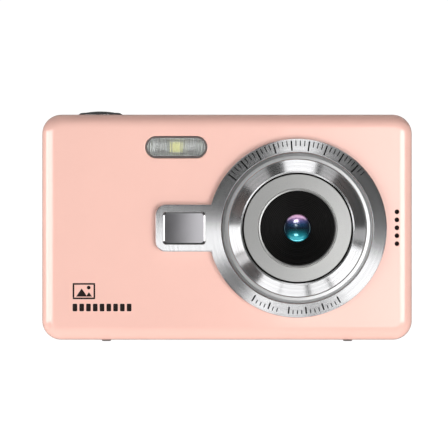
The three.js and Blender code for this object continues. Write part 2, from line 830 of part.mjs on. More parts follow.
function navigationKeys() {
  const places = { nav_left_key: 0, nav_up_key: 1, nav_right_key: 2, nav_down_key: 3 };
  const reach = (NAV.inner + NAV.outer) / 2;
  for (const [name, quarter] of Object.entries(places)) {
    const middle = (quarter * Math.PI) / 2;
    const cap = sector(middle, NAV.inner + 0.2, NAV.outer - 0.2, NAV.gap + 0.4);
    const flange = sector(middle, NAV.inner + 0.2, NAV.outer + 1, NAV.gap + 0.3);
    const stemX = KEY.column + reach * Math.cos(middle);
    const stemZ = NAV.z + reach * Math.sin(middle);
    add(name, key(cap, flange, stemX, stemZ), SATIN);
  }
  add(
    "ok_button",
    turnedY(
      [
        [0, KEY_STEM_Y],
        [NAV.ok + 1.05, KEY_STEM_Y],
        [NAV.ok + 1.05, KEY_STEM_Y + 0.4],
        [NAV.ok, KEY_STEM_Y + 0.4],
        [NAV.ok, KEY_TOP_Y - 0.3],
        [NAV.ok - 0.3, KEY_TOP_Y - 0.05],
        [0, KEY_TOP_Y - 0.05],
      ],
      KEY.column,
      NAV.z,
      28,
    ),
    SATIN,
  );
}

function zoomRocker() {
  const bevel = { bevelEnabled: true, bevelThickness: 0.25, bevelSize: 0.2, bevelSegments: 1 };
  const outline = pill(ROCKER.width - 0.4, ROCKER.height - 0.4, KEY.column, ROCKER.z);
  const cap = prismY(outline, 9.85, KEY_TOP_Y - 0.25, bevel);
  const knuckle = turnedZ(rod(1.2, ROCKER.z - 1.9, ROCKER.z + 1.9), KEY.column, ROCKER.pivotY);
  const feet = [-5.2, 5.2].map((x) =>
    turnedY(rod(0.8, KEY_STEM_Y + 0.1, 9.8), KEY.column + x, ROCKER.z, 12),
  );
  const bore = turnedZ(
    rod(ROCKER.pin + 0.08, ROCKER.z - 3, ROCKER.z + 3),
    KEY.column,
    ROCKER.pivotY,
  );
  return cut(join(cap, knuckle, ...feet), bore);
}

function keyBoard() {
  const { front, back, dome } = KEY_BOARD;
  const board = block(-45.5, -21.4, front, back, 6, 57);
  const reach = (NAV.inner + NAV.outer) / 2;
  const places = [
    ...SMALL_KEYS.map(({ x, z }) => [x, z]),
    ...[0, 1, 2, 3].map((quarter) => [
      KEY.column + reach * Math.cos((quarter * Math.PI) / 2),
      NAV.z + reach * Math.sin((quarter * Math.PI) / 2),
    ]),
    [KEY.column, NAV.z],
    [KEY.column - 5.2, ROCKER.z],
    [KEY.column + 5.2, ROCKER.z],
  ];
  const domes = places.map(([x, z]) =>
    turnedY(
      [
        [0, back - 0.1],
        [1.8, back - 0.1],
        [1.8, back + 0.1],
        [1, back + dome],
        [0, back + dome],
      ],
      x,
      z,
      8,
    ),
  );
  return join(board, ...domes);
}

// ---- Screen and electronics -----------------------------------------------------------------

function screen() {
  const outline = roundedRect(SCREEN.width, SCREEN.height, 1.5, SCREEN.x, MIDDLE_Z);
  add("screen_window", prismY(outline, BACK_Y - 0.9, BACK_Y - SEAT), GLOSS_BLACK);
  const module = slab(SCREEN.x, MIDDLE_Z, SCREEN.width, SCREEN.height - 1, 7.4, INNER.back - 0.3);
  add("screen_module", module, CHIP);
}

// The flat cable that folds under the screen and up to the main board.
function screenRibbon() {
  const thick = 0.3;
  const low = 3.6;
  const middle = new THREE.Shape([
    new THREE.Vector2(8.6, 5.7),
    new THREE.Vector2(8.6, low),
    new THREE.Vector2(5.4, low),
    new THREE.Vector2(5.4, 15),
    new THREE.Vector2(5.4 + thick, 15),
    new THREE.Vector2(5.4 + thick, low + thick),
    new THREE.Vector2(8.6 - thick, low + thick),
    new THREE.Vector2(8.6 - thick, 5.7),
  ]);
  return prismX(middle, 25, 41);
}

function electronics() {
  const board = block(-45, 46, BOARD.front, BOARD.back, BOARD.bottom, BOARD.top);
  add("main_board", board, BOARD_GREEN);
  add("main_processor", block(33, 43, 2.9, BOARD.front - SEAT, 26, 36), CHIP);
  const can = turnedZ(rod(2, INNER.top - 1.8, INNER.top - 0.2), MICROPHONE.x, CENTRE_Y);
  add("microphone", can, STEEL);
  add("speaker", speaker(), CHIP);
}

function usbSocket() {
  const outer = BODY.width / 2 - 0.2;
  const shell = prismX(pill(USB.height, USB.width), outer - USB.depth, outer);
  const mouth = prismX(
    pill(USB.height - 2 * USB.wall, USB.width - 2 * USB.wall),
    outer - USB.depth + 1,
    outer + 1,
  );
  const tongue = block(outer - USB.depth + 0.5, outer - 0.8, -0.35, 0.35, -3.2, 3.2);
  const y = BOARD.front - SEAT - USB.height / 2;
  return join(cut(shell, mouth), tongue).translate(0, y, USB.z);
}

// ---- Battery, card and door -----------------------------------------------------------------

const CONTACT = { x0: -22, x1: -8 };

function battery() {
  const { x0, x1, y0, y1, z0, z1 } = BATTERY;
  const outline = roundedRect(x1 - x0, y1 - y0, 1, (x0 + x1) / 2, (y0 + y1) / 2);
  return prismZ(outline, z0, z1);
}

// The contact block above the battery, with three leaves that reach down to its pads.
function batteryContacts() {
  const roof = BATTERY.z1 + 0.2 + CHASSIS.wall;
  const base = block(CONTACT.x0, CONTACT.x1, BATTERY.y0, BATTERY.y1, roof + 0.1, roof + 2);
  const leaves = [-19, -15, -11].map((x) =>
    block(x - 0.7, x + 0.7, 0, 0.4, BATTERY.z1 + 0.05, roof + 0.5),
  );
  return join(base, ...leaves);
}

function cardSlot() {
  const frame = block(-26, -13, BOARD.back + SEAT, 6.9, 3.4, 18.4);
  return cut(frame, block(-25.3, -13.7, 5.6, 6.6, 0, 17.8));
}

const hinge = { x: DOOR.x1 - DOOR.thick / 2, z: BOTTOM_Z + DOOR.thick / 2 };

// The door's round end turns about the pin inside the doorway.
function batteryDoor() {
  const { x0, y0, y1, thick } = DOOR;
  const plate = block(x0, hinge.x, y0, y1, BOTTOM_Z, BOTTOM_Z + thick);
  const knuckle = turnedY(rod(thick / 2, y0, y1), hinge.x, hinge.z, SMALL_ROUND);
  const ribs = [-24, -15, -6].map((x) =>
    block(x - 0.4, x + 0.4, y0 + 1, y1 - 1, BOTTOM_Z + thick - 0.1, BOTTOM_Z + thick + 0.4),
  );
  const grip = block(x0 - 1, x0 + 1, -0.5, 5.5, -1, BOTTOM_Z + 0.5);
  const bore = turnedY(rod(DOOR.pin + 0.08, y0 - 1, y1 + 1), hinge.x, hinge.z, 16);
  return cut(join(plate, knuckle, ...ribs), grip, bore);
}

// ---- Tripod bush, strap pin and feet --------------------------------------------------------

// The tripod insert: its bore opens downwards and takes a standard camera screw.
function tripodBush() {
  const low = BOTTOM_Z + 0.05;
  return turnedZ(
    [
      [0, low + TRIPOD.depth],
      [TRIPOD.bore, low + TRIPOD.depth],
      [TRIPOD.bore, low],
      [TRIPOD.outer, low],
      [TRIPOD.outer, INNER.bottom + 0.15],
      [TRIPOD.flange, INNER.bottom + 0.15],
      [TRIPOD.flange, INNER.bottom + 1.1],
      [TRIPOD.outer, INNER.bottom + 1.1],
      [TRIPOD.outer, TRIPOD.top],
      [0, TRIPOD.top],
    ],
    TRIPOD.x,
    CENTRE_Y,
    24,
  );
}

function foot(x) {
  const bevel = {
    bevelEnabled: true,
    bevelThickness: 0.3,
    bevelSize: 0.45,
    bevelSegments: 1,
    curveSegments: 3,
  };
  const long = FOOT.y1 - FOOT.y0;
  const pad = prismZ(pill(long - 0.9, FOOT.width - 0.9), 0.3, BOTTOM_Z + FOOT.sunk - 0.4, bevel);
  return pad.rotateZ(Math.PI / 2).translate(x, (FOOT.y0 + FOOT.y1) / 2, 0);
}

// ---------------------------------------------------------------------------------------------
// The whole camera
// ---------------------------------------------------------------------------------------------

add("front_cover", frontCover(), PINK);
add("rear_housing", rearHousing(), PINK);
add("chassis", chassis(), MATT_BLACK);

add("lens_ring_plate", ringPlate(), BRUSHED);
add("front_badge", badge(), CHROME);
lensRings();
add("lens_baffle", baffle(), MATT_BLACK);
add("lens_barrel", barrel(), MATT_BLACK);
add("lens_cell", lensCell(), MATT_BLACK);
add("front_lens", glass(-6.9, -5.1, 0.85, 0), CLEAR_GLASS);
add("middle_lens", glass(-3.9, -3.2, 0.3, 0.4), CLEAR_GLASS);
add("rear_lens", glass(-1.4, -0.6, 0.3, 0.5), CLEAR_GLASS);
sensorStack();

flash();

add("shutter_bezel", shutterBezel(), CHROME);
add("shutter_button", shutterButton(), CHROME);
add("shutter_spring", shutterSpring(), STEEL);
add("power_button", powerButton(), CHROME);
add("switch_board", switchBoard(), BOARD_GREEN);

add("zoom_rocker", zoomRocker(), SATIN);
const pinLow = ROCKER.z - 4.1;
const pinHigh = ROCKER.z + 4.1;
add(
  "rocker_pin",
  turnedZ(rod(ROCKER.pin, pinLow, pinHigh), KEY.column, ROCKER.pivotY, 16),
  STEEL,
);
smallKeys();
navigationKeys();
add("key_board", keyBoard(), BOARD_GREEN);

screen();
add("screen_ribbon", screenRibbon(), FILM);
electronics();
add("usb_socket", usbSocket(), STEEL);

add("battery", battery(), CELL_WRAP);
add("battery_contacts", batteryContacts(), BRASS);
add("card_slot", cardSlot(), STEEL);
add("memory_card", block(-25, -14, 5.75, 6.45, 2.6, 17.6), CHIP);
add("battery_door", batteryDoor(), PINK);
const doorPin = turnedY(rod(DOOR.pin, DOOR.y0 - 0.65, DOOR.y1 + 0.9), hinge.x, hinge.z, 16);
add("door_pin", doorPin, STEEL);

add("tripod_bush", tripodBush(), BRASS);
const strapReach = STRAP.height / 2 + 0.9;
const strapPin = turnedZ(
  rod(STRAP.pin, STRAP.z - strapReach, STRAP.z + strapReach),
  -BODY.width / 2 + 1.6,
  (STRAP.y0 + STRAP.y1) / 2,
);
add("strap_pin", strapPin, STEEL);
add("foot_left", foot(-FOOT.x), RUBBER);
add("foot_right", foot(FOOT.x), RUBBER);
for (const [name, place] of Object.entries(SCREW_PLACES)) {
  add(name, place(screw()), STEEL);
}

export default camera;
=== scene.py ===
"""Looks of the compact digital camera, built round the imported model.

Sizes are in millimetres until a vertex is made, and +X is right, -Y is the front, +Z is up.
"""

from math import asin, atan2, cos, pi, radians, sin, sqrt, tan

import bmesh
import bpy
from mathutils import Matrix, Vector


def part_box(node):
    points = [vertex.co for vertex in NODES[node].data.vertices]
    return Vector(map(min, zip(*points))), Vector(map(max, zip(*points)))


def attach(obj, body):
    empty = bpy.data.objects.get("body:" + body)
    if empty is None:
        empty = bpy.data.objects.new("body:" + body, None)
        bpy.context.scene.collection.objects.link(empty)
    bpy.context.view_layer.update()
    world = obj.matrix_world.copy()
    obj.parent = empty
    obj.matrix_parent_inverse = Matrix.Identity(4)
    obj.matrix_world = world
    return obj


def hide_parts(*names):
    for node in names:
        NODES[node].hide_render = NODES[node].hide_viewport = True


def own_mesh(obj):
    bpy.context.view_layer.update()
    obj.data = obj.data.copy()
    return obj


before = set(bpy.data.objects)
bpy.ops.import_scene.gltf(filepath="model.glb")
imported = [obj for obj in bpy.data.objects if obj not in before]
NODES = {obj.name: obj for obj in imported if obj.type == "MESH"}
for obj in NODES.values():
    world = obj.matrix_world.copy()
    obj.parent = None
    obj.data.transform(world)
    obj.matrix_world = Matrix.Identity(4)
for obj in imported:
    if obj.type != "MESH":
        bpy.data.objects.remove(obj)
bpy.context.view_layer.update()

MM = 0.001


def span(node):
    """Lowest and highest corner of a CAD node, in millimetres."""
    low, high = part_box(node)
    return Vector(low) / MM, Vector(high) / MM


def middle(node):
    low, high = span(node)
    return (low + high) / 2


def extent(node, axes="xz"):
    """Middle, width and height of a CAD node in the plane of two axes."""
    (a, b), (c, d) = ([getattr(corner, axis) for corner in span(node)] for axis in axes)
    return ((a + b) / 2, (c + d) / 2), b - a, d - c


# ---- Driving dimensions ----

COVER, REAR = span("front_cover"), span("rear_housing")
WIDTH = REAR[1].x - REAR[0].x
BOTTOM_Z, TOP_Z = REAR[0].z, REAR[1].z
HEIGHT = TOP_Z - BOTTOM_Z
MIDDLE_Z = (BOTTOM_Z + TOP_Z) / 2
FACE_Y, BACK_Y = COVER[0].y, REAR[1].y
COVER_EDGE_Y, REAR_EDGE_Y = COVER[1].y, REAR[0].y
SEAM_GAP = 0.02  # half of the fine line between the two casing halves
SEAM_Y = (COVER_EDGE_Y + REAR_EDGE_Y) / 2

EDGE = 3.5  # rounding of the casing's long edges
CORNER = 5.2  # rounding of its outline
WALL = 1.6
RIM = 0.22  # rounding of the rim of a hole in the casing
LIFT = 0.012  # how far print stands off its surface

LENS = middle("lens_cone_ring")
LENS_AXIS = (LENS.x, LENS.z)
CREST_Y = span("lens_cone_ring")[0].y
RING_FRONT_Y, SEAT_Y = (corner.y for corner in span("lens_ring_plate"))
RING_INNER, RING_OUTER = 20.5, 24.2
CONE_INNER, CONE_OUTER = 14.95, 18.55
STEP_INNER, STEP_OUTER = 18.7, 20.35
FACE_INNER, FACE_OUTER = 10.05, 14.5
GLASS = 3.7  # radius of the front glass
LENS_HOLE = 12.9
TAB_HEIGHT, TAB_CORNER = 12.8, 2.8
BADGE_GAP = 0.42  # from the badge's outline to the tab's window
SPEAKER_X, SPEAKER_RADIUS, SPEAKER_PITCH = 45.9, 0.62, 2.15
SHUTTER_HOLE, POWER_HOLE = 4.5, 2.75
FLANGE_DROP = WALL + 0.3  # a key's flange lies this far below the casing's surface

KEY_X = middle("ok_button").x
KEY_TOP_Y = span("mode_button")[1].y
NAV_INNER, NAV_OUTER, OK_RADIUS = 5.15, 9.95, 4.85

DOOR_LOW, DOOR_HIGH = span("battery_door")
HINGE_RADIUS = 0.75


# ---- Outlines: each is a function of an offset, and has the same points at any offset ----


def arc(centre, radius, start, stop, steps):
    """Points on an arc, both ends included, angles in radians."""
    return [
        (
            centre[0] + radius * cos(start + (stop - start) * i / steps),
            centre[1] + radius * sin(start + (stop - start) * i / steps),
        )
        for i in range(steps + 1)
    ]


def circle(centre, radius, steps=64):
    return lambda offset=0: arc(centre, radius + offset, 0, 2 * pi, steps)[:-1]


def rounded_rect(centre, width, height, radius, steps=8):
    def outline(offset=0):
        r = max(radius + offset, 0.02)
        w, h = width / 2 + offset - r, height / 2 + offset - r
        points = []
        for quarter, (sx, sz) in enumerate([(1, 1), (-1, 1), (-1, -1), (1, -1)]):
            corner = (centre[0] + sx * w, centre[1] + sz * h)
            points += arc(corner, r, quarter * pi / 2, (quarter + 1) * pi / 2, steps)
        return points

    return outline


def pill(centre, width, height, steps=20):
    """Two half circles and the straight sides between them, lying or standing."""

    def outline(offset=0):
        r = min(width, height) / 2 + offset
        dx, dz = width / 2 + offset - r, height / 2 + offset - r
        turn = pi / 2 if dz > 1e-6 else 0
        first = (centre[0] + dx, centre[1] + dz)
        second = (centre[0] - dx, centre[1] - dz)
        return arc(first, r, turn - pi / 2, turn + pi / 2, steps) + arc(
            second, r, turn + pi / 2, turn + 1.5 * pi, steps
        )

    return outline


def ring_and_tab(centre, radius, left, height, corner):
    """The trim's outline: a circle joined to a tab with two rounded corners on its left."""

    def outline(offset=0):
        r, half, c = radius + offset, height / 2 + offset, corner + offset
        meet = asin(half / r)
        x = left - offset + c
        points = arc(centre, r, pi + meet, 3 * pi - meet, 120)
        points += arc((x, centre[1] + half - c), c, pi / 2, pi, 10)
        points += arc((x, centre[1] - half + c), c, pi, 1.5 * pi, 10)
        return points

    return outline


def sector(centre, middle_angle, inner, outer, gap):
    """A quarter of a ring with a parallel gap to its neighbours."""

    def outline(offset=0):
        a, b, g = inner - offset, outer + offset, gap / 2 - offset
        spread_a, spread_b = pi / 4 - asin(g / a), pi / 4 - asin(g / b)
        points = arc(centre, b, middle_angle - spread_b, middle_angle + spread_b, 20)
        return points + arc(centre, a, middle_angle + spread_a, middle_angle - spread_a, 14)

    return outline


# ---- Meshes ----

XZ = lambda u, v, t: Vector((u, t, v)) * MM  # outlines on the front and back, depth along Y
XY = lambda u, v, t: Vector((u, v, t)) * MM  # outlines on the top and bottom, depth along Z
YZ = lambda u, v, t: Vector((t, u, v)) * MM  # outlines on the sides, depth along X

SHARP = radians(38)


def finished(bm, name, sharp=SHARP):
    """A bmesh of closed bodies as an object with its faces pointing out."""
    bmesh.ops.remove_doubles(bm, verts=bm.verts, dist=1e-8)
    bmesh.ops.recalc_face_normals(bm, faces=bm.faces)
    mesh = bpy.data.meshes.new(name)
    bm.to_mesh(mesh)
    bm.free()
    mesh.shade_smooth()
    mesh.set_sharp_from_angle(angle=sharp)
    made = bpy.data.objects.new(name, mesh)
    bpy.context.scene.collection.objects.link(made)
    return made


def add_skin(bm, rings):
    """Joins rings of vertices into a closed body, whose ends are the first and last ring."""
    count = len(rings[0])
    for a, b in zip(rings, rings[1:]):
        for i in range(count):
            j = (i + 1) % count
            bm.faces.new((a[i], a[j], b[j], b[i]))
    bm.faces.new(rings[0])
    bm.faces.new(rings[-1])


def add_loft(bm, outline, stations, plane):
    """Adds a closed body: the outline at each (offset, depth) station, with both ends capped."""
    rings = []
    for offset, depth in stations:
        rings.append([bm.verts.new(plane(u, v, depth)) for u, v in outline(offset)])
    add_skin(bm, rings)


def loft(name, outline, stations, plane=XZ):
    bm = bmesh.new()
    add_loft(bm, outline, stations, plane)
    return finished(bm, name)


def crowned(base, top, fillet, steps=5):
    """Stations from base to top with the top's edge rounded inwards."""
    way = 1 if top > base else -1
    stations = [(0, base)]
    for i in range(steps + 1):
        a = i / steps * pi / 2
        stations.append((-fillet * (1 - cos(a)), top - way * fillet * (1 - sin(a))))
    return stations


def mouth(surface, inward, depth, fillet=RIM):
    """Stations of a hole's cutter, whose flare rounds the hole's rim."""
    steps = 4
    stations = [(fillet, surface - inward)]
    for i in range(steps + 1):
        a = i / steps * pi / 2
        stations.append((fillet * (1 - sin(a)), surface + inward * fillet * (1 - cos(a))))
    stations.append((0, surface + inward * depth))
    return stations


def eased(profile, steps=4):
    """A closed profile of (radius, height, rounding) corners as points with rounded corners."""
    points = []
    count = len(profile)
    for i, (x, y, r) in enumerate(profile):
        here = Vector((x, y))
        before = Vector(profile[i - 1][:2]) - here
        after = Vector(profile[(i + 1) % count][:2]) - here
        if r <= 0 or x <= 0:
            points.append((x, y))
            continue
        half = before.angle(after) / 2
        reach = min(r / tan(half), before.length * 0.49, after.length * 0.49)
        r = reach * tan(half)
        centre = here + (before.normalized() + after.normalized()).normalized() * r / sin(half)
        start = here + before.normalized() * reach - centre
        stop = here + after.normalized() * reach - centre
        turn = atan2(start.x * stop.y - start.y * stop.x, start.dot(stop))
        for k in range(steps + 1):
            a = turn * k / steps
            c, s = cos(a), sin(a)
            points.append((centre.x + c * start.x - s * start.y, centre.y + s * start.x + c * start.y))
    return points


def add_turned(bm, points, place, count=128):
    """Adds a body turned about an axis: points are (radius, height), and close on themselves or
    start and end on the axis. place(radius cos, radius sin, height) gives a position."""
    angles = [2 * pi * i / count for i in range(count)]
    rings = []
    for radius, height in points:
        if radius <= 1e-9:
            rings.append([bm.verts.new(place(0, 0, height))] * count)
            continue
        spots = [(radius * cos(a), radius * sin(a)) for a in angles]
        rings.append([bm.verts.new(place(u, v, height)) for u, v in spots])
    for a, b in zip(rings, rings[1:] + rings[:1]):
        for i in range(count):
            j = (i + 1) % count
            corners = []
            for vert in (a[i], a[j], b[j], b[i]):
                if vert not in corners:
                    corners.append(vert)
            if len(corners) > 2:
                bm.faces.new(corners)


def about_y(centre):
    return lambda u, v, t: XZ(centre[0] + u, centre[1] + v, t)


def about_z(centre):
    return lambda u, v, t: XY(centre[0] + u, centre[1] + v, t)


def about_x(centre):
    return lambda u, v, t: YZ(centre[0] + u, centre[1] + v, t)


def turned(name, profile, place, count=128, steps=4):
    """A turned body from (radius, height, rounding) corners."""
    bm = bmesh.new()
    add_turned(bm, eased(profile, steps), place, count)
    return finished(bm, name)


def shoulder(radius, height, inward, rise):
    """Profile points that round a button's edge, going up and inwards."""
    angles = [i / 6 * pi / 2 for i in range(1, 7)]
    return [(radius - inward * (1 - cos(a)), height + rise * sin(a)) for a in angles]


def crown(rim, height, rise, shares):
    """Profile points of a dome, or of a dish where rise is negative, from its rim to its middle."""
    return [(rim * (1 - share), height + rise * (1 - (1 - share) ** 2)) for share in shares]


def smooth_turned(name, points, place, sharp=45):
    """A turned body from (radius, height) points. Edges past sharp degrees stay sharp."""
    bm = bmesh.new()
    add_turned(bm, points, place, 96)
    return finished(bm, name, radians(sharp))


def boolean(target, tools, operation="DIFFERENCE"):
    """Cuts or joins the tools, one after the other, and deletes them."""
    for tool in tools:
        modifier = target.modifiers.new("cut", "BOOLEAN")
        modifier.operation = operation
        modifier.solver = "EXACT"
        modifier.object = tool
    bpy.context.view_layer.update()
    solid = target.evaluated_get(bpy.context.evaluated_depsgraph_get())
    mesh = bpy.data.meshes.new_from_object(solid)
    target.modifiers.clear()
    target.data = mesh
    for tool in tools:
        bpy.data.objects.remove(tool)
    return target


def even_shading(piece, sharp=SHARP):
    """Lets the large flat faces rule the shading, so that they stay flat next to small ones."""
    piece.data.shade_smooth()
    piece.data.set_sharp_from_angle(angle=sharp)
    modifier = piece.modifiers.new("even_shading", "WEIGHTED_NORMAL")
    modifier.keep_sharp = True
    modifier.weight = 80
    return piece


# ---- Materials ----


class Nodes:
    """Short way to wire a node material."""

    def __init__(self, name):
        self.material = bpy.data.materials.new(name)
        self.material.use_nodes = True
        self.tree = self.material.node_tree
        self.shader = self.tree.nodes["Principled BSDF"]

    def set(self, **values):
        for key, value in values.items():
            self.shader.inputs[key.replace("_", " ")].default_value = value

    def add(self, kind, settings=None, **links):
        made = self.tree.nodes.new(kind)
        for key, value in (settings or {}).items():
            setattr(made, key, value)
        for key, value in links.items():
            numbered = key[0] == "i" and key[1:].isdigit()
            self.feed(made.inputs[int(key[1:]) if numbered else key], value)
        return made

    def feed(self, socket, value):
        if isinstance(value, bpy.types.NodeSocket):
            self.tree.links.new(value, socket)
        else:
            socket.default_value = value

    def math(self, operation, a, b=0.0, c=0.0):
        return self.add("ShaderNodeMath", {"operation": operation}, i0=a, i1=b, i2=c).outputs[0]

    def vector(self, operation, a, b=(0, 0, 0)):
        return self.add("ShaderNodeVectorMath", {"operation": operation}, i0=a, i1=b).outputs[0]

    def place(self):
        """The point on the piece at rest, in metres."""
        return self.add("ShaderNodeTexCoord").outputs["Object"]

    def noise(self, vector, scale, detail=3.0, roughness=0.5):
        made = self.add("ShaderNodeTexNoise", Vector=vector, Scale=scale, Detail=detail)
        made.inputs["Roughness"].default_value = roughness
        return made.outputs["Fac"]

    def ramp(self, fac, *stops):
        made = self.add("ShaderNodeValToRGB", Fac=fac)
        elements = made.color_ramp.elements
        while len(elements) < len(stops):
            elements.new(0.5)
        for element, (position, color) in zip(elements, stops):
            element.position = position
            element.color = (*color, 1) if len(color) == 3 else color
        return made.outputs["Color"]

    def between(self, fac, low, high):
        made = self.add("ShaderNodeMapRange", Value=fac)
        made.inputs["To Min"].default_value = low
        made.inputs["To Max"].default_value = high
        return made.outputs["Result"]

    def bump(self, height, strength, distance):
        made = self.add("ShaderNodeBump", Height=height, Strength=strength, Distance=distance)
        return made.outputs["Normal"]

    def shades(self, fac, low, high):
        """The colour, between a low and a high one where fac is about 0.3 and 0.7."""
        self.link("Base Color", self.ramp(fac, (0.3, low), (0.7, high)))

    def rough(self, fac, low, high):
        self.link("Roughness", self.between(fac, low, high))

    def link(self, name, value):
        self.feed(self.shader.inputs[name], value)


def tint(color, factor):
    return tuple(min(1, c * factor) for c in color)


def paint(name, color, roughness):
    """Smooth lacquer: a faint cloudiness in its colour and an orange-peel too fine to see far."""
    fleck, grain = 0.012, 0.004
    m = Nodes(name)
    place = m.place()
    cloud = m.noise(place, 60, 4)
    m.shades(cloud, tint(color, 1 - fleck), tint(color, 1 + fleck))
    m.rough(m.noise(place, 900, 2), roughness - 0.03, roughness + 0.03)
    m.link("Normal", m.bump(m.noise(place, 1400, 2), grain, 0.00002))
    m.set(Coat_Weight=1.0, Coat_Roughness=0.16, Coat_IOR=1.8, Specular_IOR_Level=0.3)
    return m.material


def around(m, centre_mm, axis):
    """Radius from an axis in metres, the angle round it, and the direction away from it."""
    place = m.place()
    centre = Vector(centre_mm) * MM
    out = m.vector("SUBTRACT", place, tuple(centre))
    keep = {"X": (0, 1, 1), "Y": (1, 0, 1), "Z": (1, 1, 0)}[axis]
    flat = m.vector("MULTIPLY", out, keep)
    radius = m.add("ShaderNodeVectorMath", {"operation": "LENGTH"}, i0=flat).outputs["Value"]
    away = m.vector("NORMALIZE", flat)
    parts = m.add("ShaderNodeSeparateXYZ", Vector=out)
    first, second = {"X": ("Y", "Z"), "Y": ("X", "Z"), "Z": ("X", "Y")}[axis]
    angle = m.math("ARCTAN2", parts.outputs[second], parts.outputs[first])
    return radius, angle, away


def spun_metal(name, color, centre, axis="Y", roughness=0.24, groove=1.0, dish=0.0):
    """Metal turned on a lathe. Fine grooves run round the axis, so that a highlight spreads across
    them. dish is how far the cut leans outwards, in degrees."""
    m = Nodes(name)
    radius, angle, away = around(m, centre, axis)
    fine = grooves(m, radius, angle, 0.00011)
    broad = grooves(m, radius, angle, 0.0006)
    mixed = m.math("ADD", m.math("MULTIPLY", fine, 0.55), m.math("MULTIPLY", broad, 0.45))
    m.shades(mixed, tint(color, 0.82), tint(color, 1.1))
    m.rough(mixed, roughness - 0.06, roughness + 0.06)
    cut = m.math("MULTIPLY", mixed, 0.000004 * groove)
    slope = m.math("MULTIPLY", radius, -tan(radians(dish)))
    m.link("Normal", m.bump(m.math("ADD", cut, slope), 1.0, 1.0))
    m.link("Tangent", away)
    m.set(Metallic=1.0, Anisotropic=0.82)
    return m.material


def grooves(m, radius, angle, pitch):
    """Streaks that run most of the way round, about pitch metres apart."""
    along = m.math("MULTIPLY", m.math("SINE", angle), 0.7)
    place = m.add("ShaderNodeCombineXYZ", X=m.math("DIVIDE", radius, pitch), Y=along)
    return m.noise(place.outputs[0], 1.0, 2, 0.6)


def satin_metal(name, color, roughness=0.38, grain=0.15):
    """Bead-blasted metal: a fine even sparkle."""
    m = Nodes(name)
    place = m.place()
    speck = m.noise(place, 5200, 2, 0.6)
    m.shades(speck, tint(color, 0.9), tint(color, 1.06))
    m.rough(m.noise(place, 700, 3), roughness - 0.05, roughness + 0.05)
    m.link("Normal", m.bump(speck, grain, 0.00002))
    m.set(Metallic=1.0)
    return m.material


def frosted_ring(name, color, centre, dish):
    """Blasted aluminium that leans outwards by dish degrees."""
    m = Nodes(name)
    place = m.place()
    radius, _, _ = around(m, centre, "Y")
    speck = m.noise(place, 4200, 2, 0.6)
    m.shades(speck, tint(color, 0.94), tint(color, 1.03))
    m.rough(m.noise(place, 700, 3), 0.48, 0.56)
    slope = m.math("MULTIPLY", radius, -tan(radians(dish)))
    height = m.math("MULTIPLY_ADD", speck, 0.0000015, slope)
    m.link("Normal", m.bump(height, 1.0, 1.0))
    m.set(Metallic=1.0)
    return m.material


def polished(name, color, roughness=0.06):
    m = Nodes(name)
    place = m.place()
    haze = m.noise(place, 420, 4)
    m.shades(haze, tint(color, 0.96), color)
    m.rough(haze, roughness * 0.9, roughness * 1.1)
    m.set(Metallic=1.0)
    return m.material


def plastic(name, color, roughness=0.5, grain=0.3, scale=3200, variation=0.15, specular=0.5):
    """Moulded plastic with a spark-eroded grain."""
    m = Nodes(name)
    place = m.place()
    pits = m.noise(place, scale, 3, 0.6)
    m.shades(pits, tint(color, 1 - variation), tint(color, 1 + variation))
    m.rough(m.noise(place, 300, 3), roughness - 0.06, roughness + 0.06)
    m.link("Normal", m.bump(pits, grain, 0.00003))
    m.set(Specular_IOR_Level=specular)
    return m.material


def painted_glow(name, color, strength):
    """A coloured paste with a painted glow: besides reflecting the light that falls on it, it gives off a
    little light of its own colour.
    """
    m = Nodes(name)
    grain = m.noise(m.place(), 2600, 3)
    shade = m.ramp(grain, (0.3, tint(color, 0.95)), (0.7, color))
    m.link("Base Color", shade)
    m.link("Emission Color", shade)
    m.rough(grain, 0.45, 0.6)
    # Painted glow: the paste emits light though it is not lit.
    m.set(Emission_Strength=strength)
    return m.material


def ribbed_black(name, centre):
    """The baffle's dull black, with a painted highlight: a little greyer on the crests of its fine rings.
    """
    m = Nodes(name)
    radius, _, _ = around(m, centre, "Y")
    rings = m.math("SINE", m.math("MULTIPLY", radius, 2 * pi / 0.00035))
    # Painted highlight: the base colour is greyer on the ring crests.
    crest = m.between(rings, 0, 1)
    m.link("Base Color", m.ramp(crest, (0.0, (0.001, 0.001, 0.001)), (1.0, (0.006, 0.005, 0.0045))))
    m.rough(m.noise(m.place(), 2500, 2), 0.4, 0.55)
    m.link("Normal", m.bump(rings, 0.25, 0.00004))
    m.set(Specular_IOR_Level=0.1)
    return m.material


